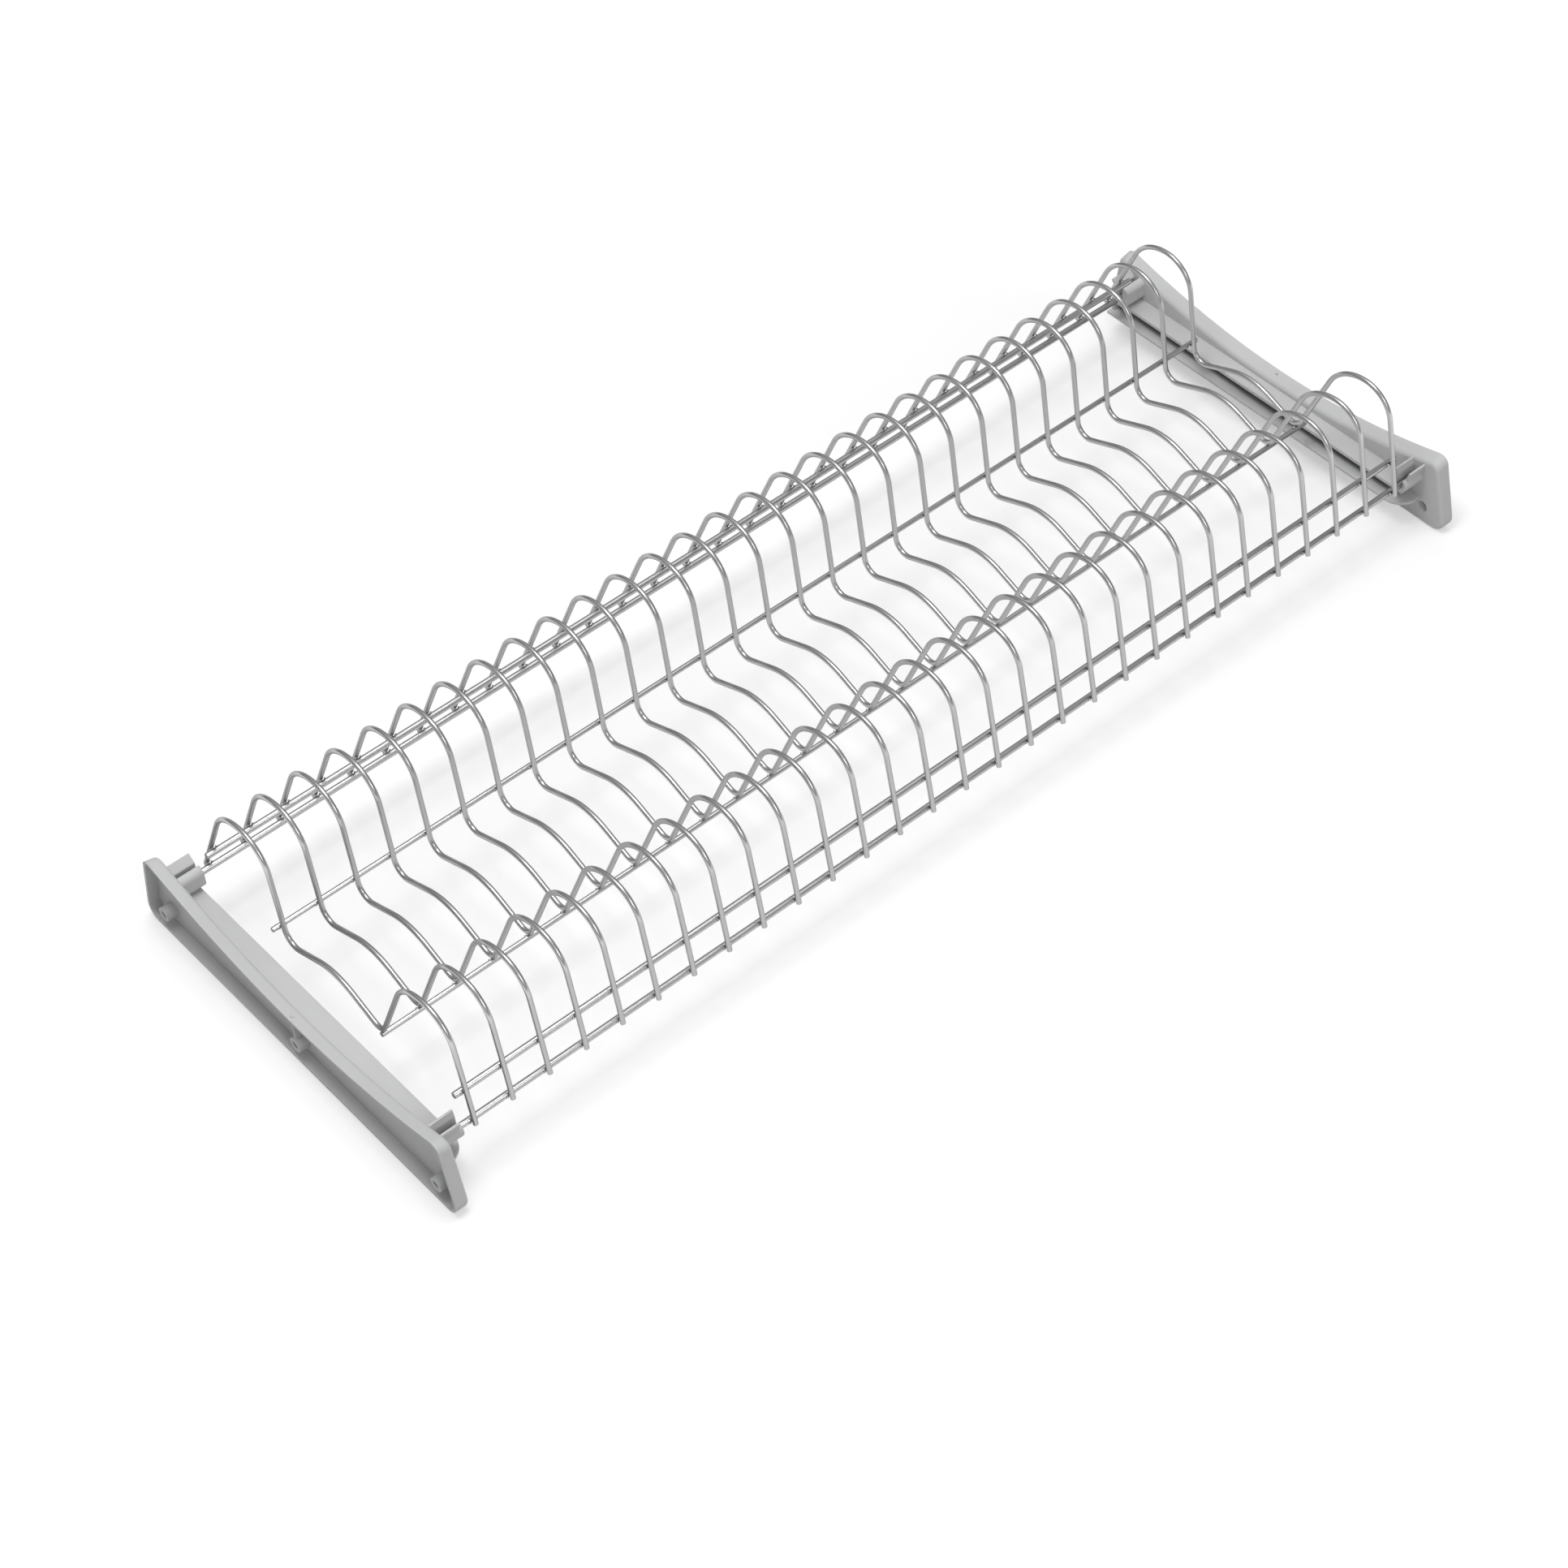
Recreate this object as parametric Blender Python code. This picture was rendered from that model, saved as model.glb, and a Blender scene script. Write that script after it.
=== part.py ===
"""Cabinet dish drainer: bent plate wires welded to six long rods, lying in the clips of two side brackets.

Metres, +X along the rods, +Y to the back of the cabinet, +Z up. The origin lies on the plane of the
brackets' undersides, midway between the two brackets and midway along them. The rack of wires and rods
lifts straight up out of the clips. Its own heights are counted from the carrier rods' axes.
"""

import math

import bmesh
import bpy
from mathutils import Matrix, Vector

# Plate wires
WIRE_COUNT = 29
WIRE_PITCH = 0.025
WIRE_DIAMETER = 0.0032

# Plate wire outline, across the rods. The depth lies between the feet and drives the whole part along Y.
# Each share of it is a place counted from its middle, and each rise is counted from the carrier rods' axes.
# A hoop leans: its shoulder over the slanting leg is wider than the one over the steep leg.
RACK_DEPTH = 0.2516
FOOT_DROP = 0.0010
LEANING_SHOULDER_RADIUS = 0.0313
STEEP_SHOULDER_RADIUS = 0.0212
REAR_CROWN_SHARE = 0.2855
REAR_CROWN_RISE = 0.0701
FRONT_CROWN_SHARE = -0.3816
FRONT_CROWN_RISE = 0.0719
BEND_SHARE = 0.1791
BEND_DROP = 0.0023
BEND_RADIUS = 0.0089
CREST_SHARE = -0.0114
CREST_RISE = 0.0172
CREST_RADIUS = 0.0413
VALLEY_SHARE = -0.1733
VALLEY_RISE = 0.0009
VALLEY_RADIUS = 0.008

# Long rods, each welded to every wire
CARRIER_DIAMETER = 0.004
UPPER_ROD_DIAMETER = 0.004
UPPER_ROD_RISE = 0.0214
REST_ROD_DIAMETER = 0.0032
REST_ROD_RISE = 0.0104
VALLEY_ROD_DIAMETER = 0.0032
WELD_GAP = 0.0003
ROD_OVERHANG = 0.006
VALLEY_ROD_OVERHANG = 0.0043
VALLEY_ROD_SHIFT = 0.0027
CARRIER_END_GAP = 0.0008

# Bracket shell
CARRIER_HEIGHT = 0.0356
WIRE_TO_CLIP = 0.008
SHELL_DEPTH = 0.009
SHELL_WALL = 0.002
WAIST_HEIGHT = 0.0348
END_HEIGHT = 0.0546
END_MARGIN = 0.0255
END_LEAN = 0.010
TOP_CORNER_RADIUS = 0.008
BASE_CORNER_RADIUS = 0.009
TOP_DRAFT = 0.0026
FACE_ROUND = 0.0024

# Screw bosses
BOSS_HEIGHT = 0.0128
BOSS_INSET = 0.0188
BOSS_DIAMETER = 0.0094
SCREW_HOLE_DIAMETER = 0.0047
SCREW_HEAD_DIAMETER = 0.0074
SCREW_HEAD_DEPTH = 0.003
RIB_THICKNESS = 0.0012
RIB_SETBACK = 0.001

# Tray groove, between a ledge below the carriers and a shelf
LEDGE_DROP = 0.0068
LEDGE_THICKNESS = 0.0025
LEDGE_REACH = 0.0125
SHELF_TOP = 0.019
SHELF_THICKNESS = 0.002
SHELF_REACH = 0.016
SHELF_FRONT_RUN = 0.0041
SHELF_CORNER_RADIUS = 0.013
SHELF_REAR_LIP = 0.0006
STOP_THICKNESS = 0.0025
REAR_RUN = 0.0102

# Clips for the carrier rods: a finger behind the seat, and in front of it a lip or a rounded block
SEAT_CLEARANCE = 0.0003
CLIP_WALL = 0.0015
CLIP_REACH = 0.015
BARREL_RADIUS = 0.0047
FRONT_FINGER_RISE = 0.0110
FRONT_LEAD = 0.0012
FRONT_LEAD_START = 0.0060
FRONT_LIP_RISE = 0.0104
REAR_FINGER_RISE = 0.0113
REAR_LEAD = 0.0048
REAR_LEAD_START = 0.0073
REAR_BLOCK_RISE = 0.0092
REAR_BLOCK_THICKNESS = 0.0046
REAR_BLOCK_ROUND = 0.0038
WINDOW_HEIGHT = 0.009
WINDOW_DROP = 0.0023
WINDOW_HALF_WIDTH = 0.0028
WINDOW_SHIFT = 0.0012

# How far a joined shape sinks into its neighbour, and how far a cut runs past what it cuts
SINK = 0.0004
OVERRUN = 0.001

# Facets
LEANING_SEGMENTS = 4
STEEP_SEGMENTS = 4
BEND_SEGMENTS = 5
CREST_SEGMENTS = 3
VALLEY_SEGMENTS = 4
WIRE_BEVEL_RESOLUTION = 1
ROD_SIDES = 12
TOP_SEGMENTS = 12
CORNER_SEGMENTS = 4
SHELF_CORNER_SEGMENTS = 6
SEAT_SEGMENTS = 8
BLOCK_SEGMENTS = 4
BOSS_SIDES = 16
ROUND_SEGMENTS = 2
SMOOTH_ANGLE = math.radians(40)

# Colours, as linear red, green and blue
STEEL_COLOUR = (0.52, 0.52, 0.52)
PLASTIC_COLOUR = (0.48, 0.48, 0.48)

# Worked out from the sizes above
WIRE_RADIUS = WIRE_DIAMETER / 2
LAST_WIRE_X = WIRE_PITCH * (WIRE_COUNT - 1) / 2
CLIP_END_X = LAST_WIRE_X + WIRE_TO_CLIP
FACE_X = CLIP_END_X + CLIP_REACH
WALL_X = FACE_X + SHELL_DEPTH
LEDGE_TOP = CARRIER_HEIGHT - LEDGE_DROP
CLIP_FOOT = -LEDGE_DROP - SINK


def clear_scene():
    """Remove whatever objects the scene starts with."""
    for obj in list(bpy.data.objects):
        bpy.data.objects.remove(obj)


def make_material(name, colour, roughness, metallic):
    """Return a Principled material of one plain colour."""
    material = bpy.data.materials.new(name)
    material.use_nodes = True
    shader = material.node_tree.nodes["Principled BSDF"]
    shader.inputs["Base Color"].default_value = (*colour, 1)
    shader.inputs["Roughness"].default_value = roughness
    shader.inputs["Metallic"].default_value = metallic
    return material


def add_object(name, data, parent=None, location=(0, 0, 0)):
    """Link a new object to the scene."""
    obj = bpy.data.objects.new(name, data)
    obj.location = location
    obj.parent = parent
    bpy.context.scene.collection.objects.link(obj)
    return obj


# Outlines are lists of (y, z) vectors

def tangent_point(point, centre, radius, side):
    """Where a line from point touches a circle, which lies on the line's left for side 1, right for -1."""
    to_centre = centre - point
    lean = Matrix.Rotation(-side * math.asin(radius / to_centre.length), 2)
    reach = math.sqrt(to_centre.length_squared - radius ** 2)
    return point + lean @ to_centre.normalized() * reach


def arc(centre, start, sweep, segments):
    """Points from start round centre through the sweep, which is positive anticlockwise."""
    spoke = start - centre
    return [centre + Matrix.Rotation(sweep * i / segments, 2) @ spoke for i in range(segments + 1)]


def arc_between(centre, start, end, segments):
    """Points of the arc of under half a turn from start to end."""
    sweep = (end - centre).angle_signed(start - centre)
    return arc(centre, start, sweep, segments)


def fillet(before, corner, after, radius, segments):
    """Points of the arc that rounds a corner, and the arc's centre."""
    back = (before - corner).normalized()
    ahead = (after - corner).normalized()
    half_angle = back.angle(ahead) / 2
    centre = corner + (back + ahead).normalized() * radius / math.sin(half_angle)
    start = corner + back * radius / math.tan(half_angle)
    turn = math.copysign(math.pi - 2 * half_angle, ahead.cross(back))
    return arc(centre, start, turn, segments), centre


def rounded_outline(corners):
    """Round each corner of a closed outline given as (point, radius, segments), where radius isn't zero."""
    points = []
    for i, (corner, radius, segments) in enumerate(corners):
        before = corners[i - 1][0]
        after = corners[(i + 1) % len(corners)][0]
        points += fillet(before, corner, after, radius, segments)[0] if radius else [corner]
    return points


# The rack, in heights from the carrier rods' axes

REAR_FOOT = Vector((RACK_DEPTH / 2, -FOOT_DROP))
FRONT_FOOT = Vector((-RACK_DEPTH / 2, -FOOT_DROP))
REAR_CROWN = Vector((RACK_DEPTH * REAR_CROWN_SHARE, REAR_CROWN_RISE))
FRONT_CROWN = Vector((RACK_DEPTH * FRONT_CROWN_SHARE, FRONT_CROWN_RISE))
BEND = Vector((RACK_DEPTH * BEND_SHARE, -BEND_DROP))
CREST = Vector((RACK_DEPTH * CREST_SHARE, CREST_RISE))
VALLEY = Vector((RACK_DEPTH * VALLEY_SHARE, VALLEY_RISE))
LEANING_SHOULDER = Vector((0, -LEANING_SHOULDER_RADIUS))
STEEP_SHOULDER = Vector((0, -STEEP_SHOULDER_RADIUS))
REAR_LEG_TOP = tangent_point(REAR_FOOT, REAR_CROWN + LEANING_SHOULDER, LEANING_SHOULDER_RADIUS, 1)
REAR_INNER_TOP = tangent_point(BEND, REAR_CROWN + STEEP_SHOULDER, STEEP_SHOULDER_RADIUS, -1)
FRONT_INNER_TOP = tangent_point(VALLEY, FRONT_CROWN + LEANING_SHOULDER, LEANING_SHOULDER_RADIUS, 1)
FRONT_LEG_TOP = tangent_point(FRONT_FOOT, FRONT_CROWN + STEEP_SHOULDER, STEEP_SHOULDER_RADIUS, -1)


def hoop(start, crown, end):
    """Points of a hoop, from the slanting leg's top over the crown to the steep leg's top."""
    rising = arc_between(crown + LEANING_SHOULDER, start, crown, LEANING_SEGMENTS)
    falling = arc_between(crown + STEEP_SHOULDER, crown, end, STEEP_SEGMENTS)
    return rising + falling[1:]


def plate_wire_outline():
    """Centre line of a plate wire, from its rear foot over both hoops to its front foot."""
    bend, _ = fillet(REAR_INNER_TOP, BEND, CREST, BEND_RADIUS, BEND_SEGMENTS)
    crest, _ = fillet(BEND, CREST, VALLEY, CREST_RADIUS, CREST_SEGMENTS)
    valley, _ = fillet(CREST, VALLEY, FRONT_INNER_TOP, VALLEY_RADIUS, VALLEY_SEGMENTS)
    rear_hoop = hoop(REAR_LEG_TOP, REAR_CROWN, REAR_INNER_TOP)
    front_hoop = hoop(FRONT_INNER_TOP, FRONT_CROWN, FRONT_LEG_TOP)
    return [REAR_FOOT, *rear_hoop, *bend, *crest, *valley, *front_hoop, FRONT_FOOT]


def beside_leg(foot, top, rod_diameter, height, side):
    """Centre of a rod welded to a straight leg at a height, right of the upward leg for side 1."""
    leg = (top - foot).normalized()
    normal = side * Vector((leg.y, -leg.x))
    distance = WIRE_RADIUS + WELD_GAP + rod_diameter / 2
    return Vector((foot.x + (distance - (height - foot.y) * normal.y) / normal.x, height))


def below_valley(rod_diameter):
    """Centre of a rod welded under the valley's tight bend."""
    _, centre = fillet(CREST, VALLEY, FRONT_INNER_TOP, VALLEY_RADIUS, VALLEY_SEGMENTS)
    distance = VALLEY_RADIUS + WIRE_RADIUS + WELD_GAP + rod_diameter / 2
    return centre + (VALLEY - centre).normalized() * distance


REAR_CARRIER = beside_leg(REAR_FOOT, REAR_LEG_TOP, CARRIER_DIAMETER, 0, -1)
FRONT_CARRIER = beside_leg(FRONT_FOOT, FRONT_LEG_TOP, CARRIER_DIAMETER, 0, 1)


def make_plate_wires(rack):
    """The bent wires that hold the plates apart, evenly spaced along the rods."""
    curve = bpy.data.curves.new("plate_wire", 'CURVE')
    curve.dimensions = '3D'
    curve.bevel_depth = WIRE_RADIUS
    curve.bevel_resolution = WIRE_BEVEL_RESOLUTION
    curve.use_fill_caps = True
    outline = plate_wire_outline()
    spline = curve.splines.new('POLY')
    spline.points.add(len(outline) - 1)
    for point, (y, z) in zip(spline.points, outline):
        point.co = (0, y, z, 1)
    spline.use_smooth = True
    curve.materials.append(make_material("plate_wire", STEEL_COLOUR, 0.3, 1))
    for i in range(WIRE_COUNT):
        add_object(f"plate_wire_{i + 1:02d}", curve, rack, (i * WIRE_PITCH - LAST_WIRE_X, 0, 0))


def make_rod(name, rack, centre, diameter, length, shift=0):
    """A straight round rod along X."""
    mesh = bpy.data.meshes.new(name)
    bm = bmesh.new()
    turn = Matrix.Rotation(math.pi / 2, 4, 'Y')
    bmesh.ops.create_cone(bm, cap_ends=True, segments=ROD_SIDES, radius1=diameter / 2,
                          radius2=diameter / 2, depth=length, matrix=turn)
    bm.to_mesh(mesh)
    bm.free()
    mesh.shade_smooth()
    mesh.set_sharp_from_angle(angle=SMOOTH_ANGLE)
    mesh.materials.append(make_material(name, STEEL_COLOUR, 0.3, 1))
    return add_object(name, mesh, rack, (shift, *centre))


def make_rods(rack):
    """The two carriers that lie in the clips, and four rods with free ends."""
    carrier_length = 2 * (FACE_X - CARRIER_END_GAP)
    rod_length = 2 * (LAST_WIRE_X + ROD_OVERHANG)
    valley_length = 2 * (LAST_WIRE_X + VALLEY_ROD_OVERHANG)
    rear_upper = beside_leg(REAR_FOOT, REAR_LEG_TOP, UPPER_ROD_DIAMETER, UPPER_ROD_RISE, -1)
    front_upper = beside_leg(FRONT_FOOT, FRONT_LEG_TOP, UPPER_ROD_DIAMETER, UPPER_ROD_RISE, 1)
    rest = beside_leg(BEND, REAR_INNER_TOP, REST_ROD_DIAMETER, REST_ROD_RISE, 1)
    make_rod("rear_carrier_rod", rack, REAR_CARRIER, CARRIER_DIAMETER, carrier_length)
    make_rod("front_carrier_rod", rack, FRONT_CARRIER, CARRIER_DIAMETER, carrier_length)
    make_rod("rear_upper_rod", rack, rear_upper, UPPER_ROD_DIAMETER, rod_length)
    make_rod("front_upper_rod", rack, front_upper, UPPER_ROD_DIAMETER, rod_length)
    make_rod("rear_rest_rod", rack, rest, REST_ROD_DIAMETER, rod_length)
    make_rod("valley_rod", rack, below_valley(VALLEY_ROD_DIAMETER), VALLEY_ROD_DIAMETER,
             valley_length, VALLEY_ROD_SHIFT)


# The brackets: x runs from the cabinet's side into the room, and is turned round for the right bracket

SEAT_RADIUS = CARRIER_DIAMETER / 2 + SEAT_CLEARANCE
CLIP_SIDE = SEAT_RADIUS + CLIP_WALL
BASE_HALF_LENGTH = max(REAR_CARRIER.x, -FRONT_CARRIER.x) + END_MARGIN
TOP_HALF_LENGTH = BASE_HALF_LENGTH - END_LEAN
REAR_END_Y = REAR_CARRIER.x + REAR_RUN
SHELF_END_Y = FRONT_CARRIER.x - SHELF_FRONT_RUN
BOSS_Y = BASE_HALF_LENGTH - BOSS_INSET
CAVITY_DEPTH = SHELL_DEPTH - SHELL_WALL
ROOT_X = SHELL_DEPTH - SINK


def top_height(y):
    """Height of the shell's dished top edge, at the cabinet's side."""
    return WAIST_HEIGHT + (END_HEIGHT - WAIST_HEIGHT) * (y / TOP_HALF_LENGTH) ** 2


def shell_outline():
    """Side outline of the shell: flat base, ends that lean in, dished top."""
    base = [(Vector((y, 0)), BASE_CORNER_RADIUS, CORNER_SEGMENTS)
            for y in (-BASE_HALF_LENGTH, BASE_HALF_LENGTH)]
    shares = [1 - 2 * i / TOP_SEGMENTS for i in range(TOP_SEGMENTS + 1)]
    top = []
    for share in shares:
        y = share * TOP_HALF_LENGTH
        radius = TOP_CORNER_RADIUS if abs(share) == 1 else 0
        top.append((Vector((y, top_height(y))), radius, CORNER_SEGMENTS))
    return rounded_outline(base + top)


def raise_face(bm, face, run):
    """Extrude a lone face by a run, which closes it into a solid, and return the moved face."""
    grown = bmesh.ops.extrude_face_region(bm, geom=[face])["geom"]
    bmesh.ops.translate(bm, vec=run, verts=[v for v in grown if isinstance(v, bmesh.types.BMVert)])
    return next(f for f in grown if isinstance(f, bmesh.types.BMFace))


def finish_mesh(bm, name, side):
    """Turn a bracket mesh to its side, point its faces outwards and return it as mesh data."""
    bmesh.ops.scale(bm, vec=(-side, 1, 1), verts=bm.verts)
    bmesh.ops.recalc_face_normals(bm, faces=bm.faces)
    mesh = bpy.data.meshes.new(name)
    bm.to_mesh(mesh)
    bm.free()
    return mesh


def make_shell(name, side):
    """A shallow shell, open to the cabinet's side, with a rounded face and a top that falls to the room."""
    bm = bmesh.new()
    rim = bm.faces.new([bm.verts.new((0, y, z)) for y, z in shell_outline()])
    face = raise_face(bm, rim, (SHELL_DEPTH, 0, 0))
    bmesh.ops.bevel(bm, geom=list(face.edges), offset=FACE_ROUND, offset_type='OFFSET', affect='EDGES',
                    segments=ROUND_SEGMENTS, profile=0.5, material=-1)
    rim = next(f for f in bm.faces if all(v.co.x == 0 for v in f.verts))
    bmesh.ops.inset_region(bm, faces=[rim], thickness=SHELL_WALL, use_even_offset=True)
    floor = bmesh.ops.extrude_discrete_faces(bm, faces=[rim])["faces"][0]
    bmesh.ops.translate(bm, vec=(CAVITY_DEPTH, 0, 0), verts=floor.verts)
    for vert in bm.verts:
        fall_share = vert.co.x / SHELL_DEPTH * vert.co.z / top_height(vert.co.y)
        vert.co.z -= TOP_DRAFT * fall_share
    return finish_mesh(bm, name, side)


def make_prism(name, side, base, run):
    """A solid made by pushing a flat outline of 3-D points along a run."""
    bm = bmesh.new()
    raise_face(bm, bm.faces.new([bm.verts.new(point) for point in base]), run)
    return finish_mesh(bm, name, side)


def make_side_prism(name, side, outline, start, end):
    """A prism of a (y, z) outline between two depths."""
    return make_prism(name, side, [(start, y, z) for y, z in outline], (end - start, 0, 0))


def make_disc(name, side, y, diameter, start, end):
    """A round prism on a screw hole's axis."""
    centre = Vector((y, BOSS_HEIGHT))
    turn = math.tau * (1 - 1 / BOSS_SIDES)
    outline = arc(centre, centre + Vector((diameter / 2, 0)), turn, BOSS_SIDES - 1)
    return make_side_prism(name, side, outline, start, end)


def make_rib(name, side):
    """The thin rib from the middle boss up to the sloping top wall."""
    low = BOSS_HEIGHT + BOSS_DIAMETER / 2 - SINK
    high = WAIST_HEIGHT - SHELL_WALL + SINK
    deep = CAVITY_DEPTH + SINK
    slope = TOP_DRAFT / SHELL_DEPTH
    corners = [(RIB_SETBACK, low), (deep, low), (deep, high - slope * deep),
               (RIB_SETBACK, high - slope * RIB_SETBACK)]
    base = [(x, -RIB_THICKNESS / 2, z) for x, z in corners]
    return make_prism(name, side, base, (0, RIB_THICKNESS, 0))


def ledge_outline():
    """Side outline of the ledge over the groove and of the stop at the groove's rear end."""
    underside = LEDGE_TOP - LEDGE_THICKNESS
    foot = SHELF_TOP - SINK
    stop_front = REAR_END_Y - STOP_THICKNESS
    corners = [(FRONT_CARRIER.x, underside), (FRONT_CARRIER.x, LEDGE_TOP), (REAR_END_Y, LEDGE_TOP),
               (REAR_END_Y, foot), (stop_front, foot), (stop_front, underside)]
    return [Vector(corner) for corner in corners]


def make_shelf(name, side):
    """The shelf under the groove, with one rounded front corner seen from above."""
    reach = SHELL_DEPTH + SHELF_REACH
    rear = REAR_END_Y + SHELF_REAR_LIP
    plan = rounded_outline([(Vector((ROOT_X, rear)), 0, 0), (Vector((reach, rear)), 0, 0),
                            (Vector((reach, SHELF_END_Y)), SHELF_CORNER_RADIUS, SHELF_CORNER_SEGMENTS),
                            (Vector((ROOT_X, SHELF_END_Y)), 0, 0)])
    base = [(x, y, SHELF_TOP - SHELF_THICKNESS) for x, y in plan]
    return make_prism(name, side, base, (0, 0, SHELF_THICKNESS))


def front_lip():
    """The thin lip in front of a seat, and the barrel that goes on from it under the rod to the finger."""
    lip = [Vector((-SEAT_RADIUS, FRONT_LIP_RISE)), Vector((-CLIP_SIDE, FRONT_LIP_RISE))]
    start = Vector((-CLIP_SIDE, math.sqrt(BARREL_RADIUS ** 2 - CLIP_SIDE ** 2)))
    end = Vector((SEAT_RADIUS, -math.sqrt(BARREL_RADIUS ** 2 - SEAT_RADIUS ** 2)))
    return lip + arc_between(Vector((0, 0)), start, end, SEAT_SEGMENTS)


def rear_block():
    """The block in front of a seat, rounded at its top, which stands on the ledge."""
    back = Vector((-SEAT_RADIUS, REAR_BLOCK_RISE))
    top = Vector((-SEAT_RADIUS - REAR_BLOCK_THICKNESS, REAR_BLOCK_RISE))
    bottom = Vector((top.x, CLIP_FOOT))
    rounded, _ = fillet(back, top, bottom, REAR_BLOCK_ROUND, BLOCK_SEGMENTS)
    return [back, *rounded, bottom]


def clip_outline(carrier, finger_rise, lead, lead_start, wall):
    """Side outline of a clip: a finger on the ledge, a round seat, and the wall at the seat's front."""
    finger = [Vector((SEAT_RADIUS, CLIP_FOOT)), Vector((CLIP_SIDE, CLIP_FOOT)),
              Vector((CLIP_SIDE, lead_start - lead / 2)), Vector((CLIP_SIDE + lead, finger_rise)),
              Vector((SEAT_RADIUS + lead, finger_rise)), Vector((SEAT_RADIUS, lead_start))]
    seat_arc = arc(Vector((0, 0)), Vector((SEAT_RADIUS, 0)), -math.pi, SEAT_SEGMENTS)
    seat = carrier + Vector((0, CARRIER_HEIGHT))
    return [seat + point for point in finger + seat_arc + wall]


def window_outline():
    """Side outline of the opening through the shell's face, behind the front clip."""
    middle = FRONT_CARRIER.x - WINDOW_SHIFT
    low = CARRIER_HEIGHT - WINDOW_DROP
    high = low + WINDOW_HEIGHT
    return [Vector((middle + y, z)) for y, z in ((-WINDOW_HALF_WIDTH, low), (WINDOW_HALF_WIDTH, low),
                                                 (WINDOW_HALF_WIDTH, high), (-WINDOW_HALF_WIDTH, high))]


def add_boolean(bracket, meshes, operation):
    """Join or cut a bracket with the solids in meshes, which stay as hidden guides."""
    guides = bpy.data.collections.new(f"{bracket.name}_{operation.lower()}")
    bpy.context.scene.collection.children.link(guides)
    for mesh in meshes:
        guide = bpy.data.objects.new(mesh.name, mesh)
        guide.parent = bracket
        guide.hide_render = True
        guide.display_type = 'WIRE'
        guides.objects.link(guide)
    modifier = bracket.modifiers.new(guides.name, 'BOOLEAN')
    modifier.operand_type = 'COLLECTION'
    modifier.collection = guides
    modifier.operation = operation
    modifier.solver = 'EXACT'


def make_bracket(name, side):
    """A side bracket, on the left for side -1 and on the right for side 1."""
    bracket = add_object(name, make_shell(name, side), location=(side * WALL_X, 0, 0))
    bracket.data.materials.append(make_material(name, PLASTIC_COLOUR, 0.5, 0))
    clip_end = SHELL_DEPTH + CLIP_REACH
    front_clip = clip_outline(FRONT_CARRIER, FRONT_FINGER_RISE, FRONT_LEAD, FRONT_LEAD_START, front_lip())
    rear_clip = clip_outline(REAR_CARRIER, REAR_FINGER_RISE, REAR_LEAD, REAR_LEAD_START, rear_block())
    joined = [make_side_prism(f"{name}_front_clip", side, front_clip, ROOT_X, clip_end),
              make_side_prism(f"{name}_rear_clip", side, rear_clip, ROOT_X, clip_end),
              make_side_prism(f"{name}_ledge", side, ledge_outline(), ROOT_X, SHELL_DEPTH + LEDGE_REACH),
              make_shelf(f"{name}_shelf", side), make_rib(f"{name}_rib", side)]
    cuts = [make_side_prism(f"{name}_window", side, window_outline(), CAVITY_DEPTH - OVERRUN,
                            SHELL_DEPTH + SINK)]
    for place, y in (("front", -BOSS_Y), ("middle", 0), ("rear", BOSS_Y)):
        label = f"{name}_{place}"
        joined.append(make_disc(f"{label}_boss", side, y, BOSS_DIAMETER, 0, CAVITY_DEPTH + SINK))
        cuts.append(make_disc(f"{label}_screw_hole", side, y, SCREW_HOLE_DIAMETER,
                              -OVERRUN, SHELL_DEPTH + OVERRUN))
        cuts.append(make_disc(f"{label}_screw_head", side, y, SCREW_HEAD_DIAMETER,
                              SHELL_DEPTH - SCREW_HEAD_DEPTH, SHELL_DEPTH + OVERRUN))
    add_boolean(bracket, joined, 'UNION')
    add_boolean(bracket, cuts, 'DIFFERENCE')


clear_scene()
rack_lift = add_object("rack_lift", None, location=(0, 0, CARRIER_HEIGHT))
make_plate_wires(rack_lift)
make_rods(rack_lift)
make_bracket("left_bracket", -1)
make_bracket("right_bracket", 1)
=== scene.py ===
"""Cabinet dish drainer, dressed for its picture.

Fine wires, rods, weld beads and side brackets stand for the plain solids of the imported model, each with
a drawn steel or moulded plastic finish, on a pale floor under soft studio lamps. Metres, +X along the
rods, +Y to the back of the cabinet, +Z up.
"""

import logging
import math
import random
from dataclasses import dataclass, field
from enum import Enum
from typing import Any, Callable, Iterable, Optional, Union

import bmesh
import bpy
from bmesh.types import BMEdge, BMesh, BMFace, BMVert
from bpy.types import Material, Mesh, NodeSocket, Object, World
from mathutils import Matrix, Vector

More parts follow.
